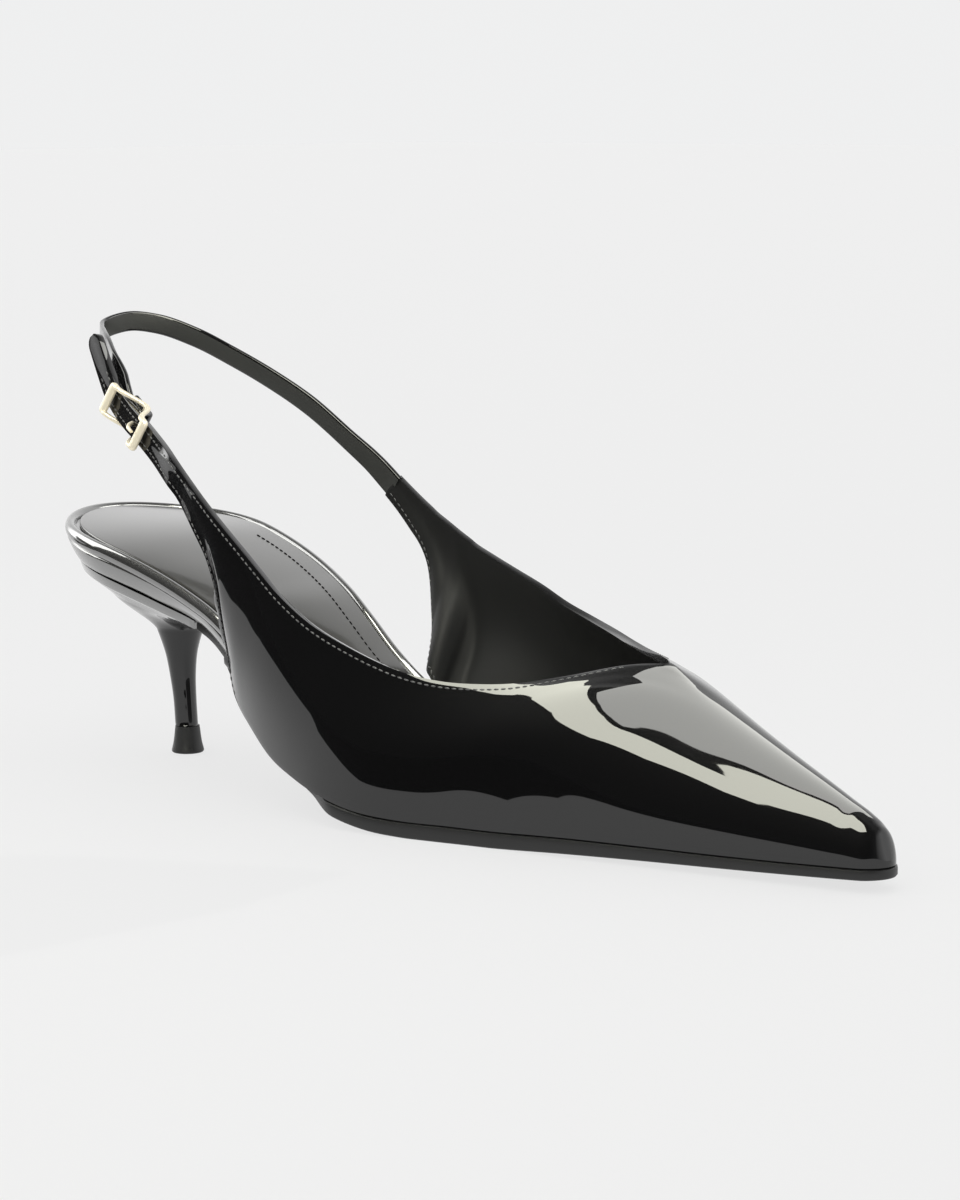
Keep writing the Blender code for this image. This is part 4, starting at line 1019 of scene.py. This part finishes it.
# The rows start a few ribs behind the throat and where the rear edges are free, and stop short
# of the arm's and the wing's ends.
outer_end = len(outer_skin) - 14
inner_end = len(inner_skin) - 3
outer_topline = edge_line(outer_skin, THROAT_RIB + 6, outer_end, TOPLINE_MARGIN)
stitch_row("outer_topline_stitches", "upper", *outer_topline, *TOPLINE_STITCH)
outer_rear = edge_line(outer_skin, THROAT_RIB + 79, outer_end, OUTER_REAR_MARGIN, from_top=False)
stitch_row("outer_rear_stitches", "upper", *outer_rear, *REAR_STITCH)
inner_topline = edge_line(inner_skin, THROAT_RIB + 6, inner_end, TOPLINE_MARGIN)
stitch_row("inner_topline_stitches", "upper", *inner_topline, *TOPLINE_STITCH)
inner_rear = edge_line(inner_skin, THROAT_RIB + 70, inner_end, INNER_REAR_MARGIN, from_top=False)
inner_wall = (inner_rear[0] - inner_rear[1] * WALL, -inner_rear[1])
stitch_row("inner_rear_stitches", "upper", *inner_wall, *REAR_STITCH)
sewn = np.linspace(0.150, 0.640, 400)
sock_seam = np.column_stack([
    place(sewn), last("rim_in", sewn) * BALL_WIDTH - SOCK_MARGIN, sock_base(sewn) + GAP + SOCK,
])
upright = np.tile((0.0, 0.0, 1.0), (len(sewn), 1))
stitch_row("sock_stitches", "insole", sock_seam, upright, *SOCK_STITCH, dull)

# Studio. A pale surround that lights the paper evenly. The patent leather mirrors what stands
# round it: a dark front room, pale walls beyond the toe and the heel, two panels overhead with a
# narrow gap between them, a third beside the heel, and a dark card beside the camera.
bpy.context.scene.view_settings.view_transform = "Standard"
world = bpy.data.worlds.new("studio")
world.use_nodes = True
bpy.context.scene.world = world
nodes = world.node_tree.nodes
links = world.node_tree.links
backdrop = nodes["Background"]
backdrop.inputs["Color"].default_value = (0.98, 0.985, 0.985, 1)
backdrop.inputs["Strength"].default_value = 1.0
mirrored = nodes.new("ShaderNodeBackground")
choose = nodes.new("ShaderNodeMixShader")
ray = nodes.new("ShaderNodeLightPath")
way = nodes.new("ShaderNodeTexCoord")
parts = nodes.new("ShaderNodeSeparateXYZ")
links.new(way.outputs["Generated"], parts.inputs[0])
bearing = nodes.new("ShaderNodeMath")
bearing.operation = "ARCTAN2"
links.new(parts.outputs["Y"], bearing.inputs[0])
links.new(parts.outputs["X"], bearing.inputs[1])
turned = nodes.new("ShaderNodeMapRange")
turned.inputs["From Min"].default_value = -math.pi
turned.inputs["From Max"].default_value = math.pi
links.new(bearing.outputs[0], turned.inputs["Value"])
room = nodes.new("ShaderNodeValToRGB")
room.color_ramp.interpolation = "LINEAR"
# How bright the room is: from the heel's end by the outer side to the toe's, and on round.
room_stops = (
    (0.000, 3.60), (0.024, 3.80), (0.036, 0.02), (0.380, 0.02), (0.450, 0.10), (0.480, 0.55),
    (0.560, 1.30), (0.640, 1.00), (0.960, 1.00), (0.985, 2.50), (1.000, 3.20),
)
while len(room.color_ramp.elements) < len(room_stops):
    room.color_ramp.elements.new(0.5)
for stop, (spot, bright) in zip(room.color_ramp.elements, room_stops):
    stop.position = spot
    stop.color = (bright, bright, bright, 1)
links.new(turned.outputs[0], room.inputs[0])
high = nodes.new("ShaderNodeMapRange")
high.inputs["From Min"].default_value = 0.62
high.inputs["From Max"].default_value = 0.88
high.inputs["To Min"].default_value = 1.0
high.inputs["To Max"].default_value = 0.15
links.new(parts.outputs["Z"], high.inputs["Value"])
links.new(room.outputs[0], mirrored.inputs["Color"])
links.new(high.outputs[0], mirrored.inputs["Strength"])
links.new(ray.outputs["Is Glossy Ray"], choose.inputs[0])
links.new(backdrop.outputs[0], choose.inputs[1])
links.new(mirrored.outputs[0], choose.inputs[2])
seen = nodes.new("ShaderNodeBackground")
seen.inputs["Color"].default_value = (0.863, 0.866, 0.868, 1)
straight = nodes.new("ShaderNodeMixShader")
links.new(ray.outputs["Is Camera Ray"], straight.inputs[0])
links.new(choose.outputs[0], straight.inputs[1])
links.new(seen.outputs[0], straight.inputs[2])
links.new(straight.outputs[0], nodes["World Output"].inputs["Surface"])


PANEL_HEIGHT = 0.28
CARD_HEIGHT = 0.0008


def mirrored_sheet(name, corners, height, material):
    """A flat sheet with the corners given at one height, seen only in what is glossy."""
    sheet = bpy.data.meshes.new(name)
    sheet.from_pydata([(x, y, height) for x, y in corners], [], [tuple(range(len(corners)))])
    sheet.materials.append(material)
    made = bpy.data.objects.new(name, sheet)
    bpy.context.scene.collection.objects.link(made)
    made.visible_camera = False
    made.visible_diffuse = False
    made.visible_shadow = False
    made.visible_transmission = False


def panel(name, corners, strength, blue):
    """A light panel overhead, as bright as its strength says."""
    glow = bpy.data.materials.new(name)
    glow.use_nodes = True
    glow.node_tree.nodes.clear()
    lamp = glow.node_tree.nodes.new("ShaderNodeEmission")
    out = glow.node_tree.nodes.new("ShaderNodeOutputMaterial")
    lamp.inputs["Strength"].default_value = strength
    lamp.inputs["Color"].default_value = (1.0, 1.0, blue, 1)
    glow.node_tree.links.new(lamp.outputs[0], out.inputs[0])
    mirrored_sheet(name, corners, PANEL_HEIGHT, glow)


panel("top_panel", (
    (0.095, 0.300), (0.092, 0.020), (0.088, -0.030), (0.080, -0.075), (0.123, -0.176),
    (0.149, -0.257), (0.159, -0.300), (0.163, -0.285), (0.166, -0.256), (0.171, -0.226),
    (0.180, -0.190), (0.189, -0.157), (0.197, -0.137), (0.207, -0.112), (0.217, -0.075),
    (0.223, -0.046), (0.228, 0.300),
), 5.6, 0.95)
panel("front_panel", (
    (-0.006, -0.040), (0.006, -0.105), (0.040, -0.178), (0.068, -0.245), (0.086, -0.325),
    (0.112, -0.429), (0.136, -0.535), (0.150, -0.525), (0.162, -0.465), (0.182, -0.411),
    (0.208, -0.339), (0.240, -0.251), (0.364, -0.129), (0.240, -0.043), (0.230, -0.046),
    (0.224, -0.075), (0.214, -0.112), (0.204, -0.137), (0.196, -0.157), (0.187, -0.190),
    (0.178, -0.226), (0.172, -0.257), (0.170, -0.290), (0.166, -0.325), (0.158, -0.330),
    (0.154, -0.318), (0.143, -0.262), (0.117, -0.181), (0.068, -0.082), (0.036, -0.012),
    (0.010, -0.010),
), 10.0, 0.87)
panel("side_panel", (
    (-0.060, -0.030), (-0.837, -0.060), (-0.600, -0.610), (-0.150, -0.240), (-0.060, -0.110),
), 4.0, 0.97)
felt = surface("black_felt", (0.01, 0.01, 0.01), 1.0, {"Specular IOR Level": 0.0})
mirrored_sheet("dark_card", (
    (-0.210, -0.030), (-0.215, -0.175), (-0.320, -0.360), (-0.188, -0.364), (-0.052, -0.203),
    (0.023, -0.144), (0.077, -0.099), (0.111, -0.080), (0.135, -0.068), (0.141, -0.111),
    (0.124, -0.287), (0.130, -0.450), (0.120, -0.900), (0.100, -2.300), (0.000, -8.800),
    (-8.800, -8.800), (-8.800, -5.000), (-0.560, -0.260), (-0.500, -0.030),
), CARD_HEIGHT, felt)
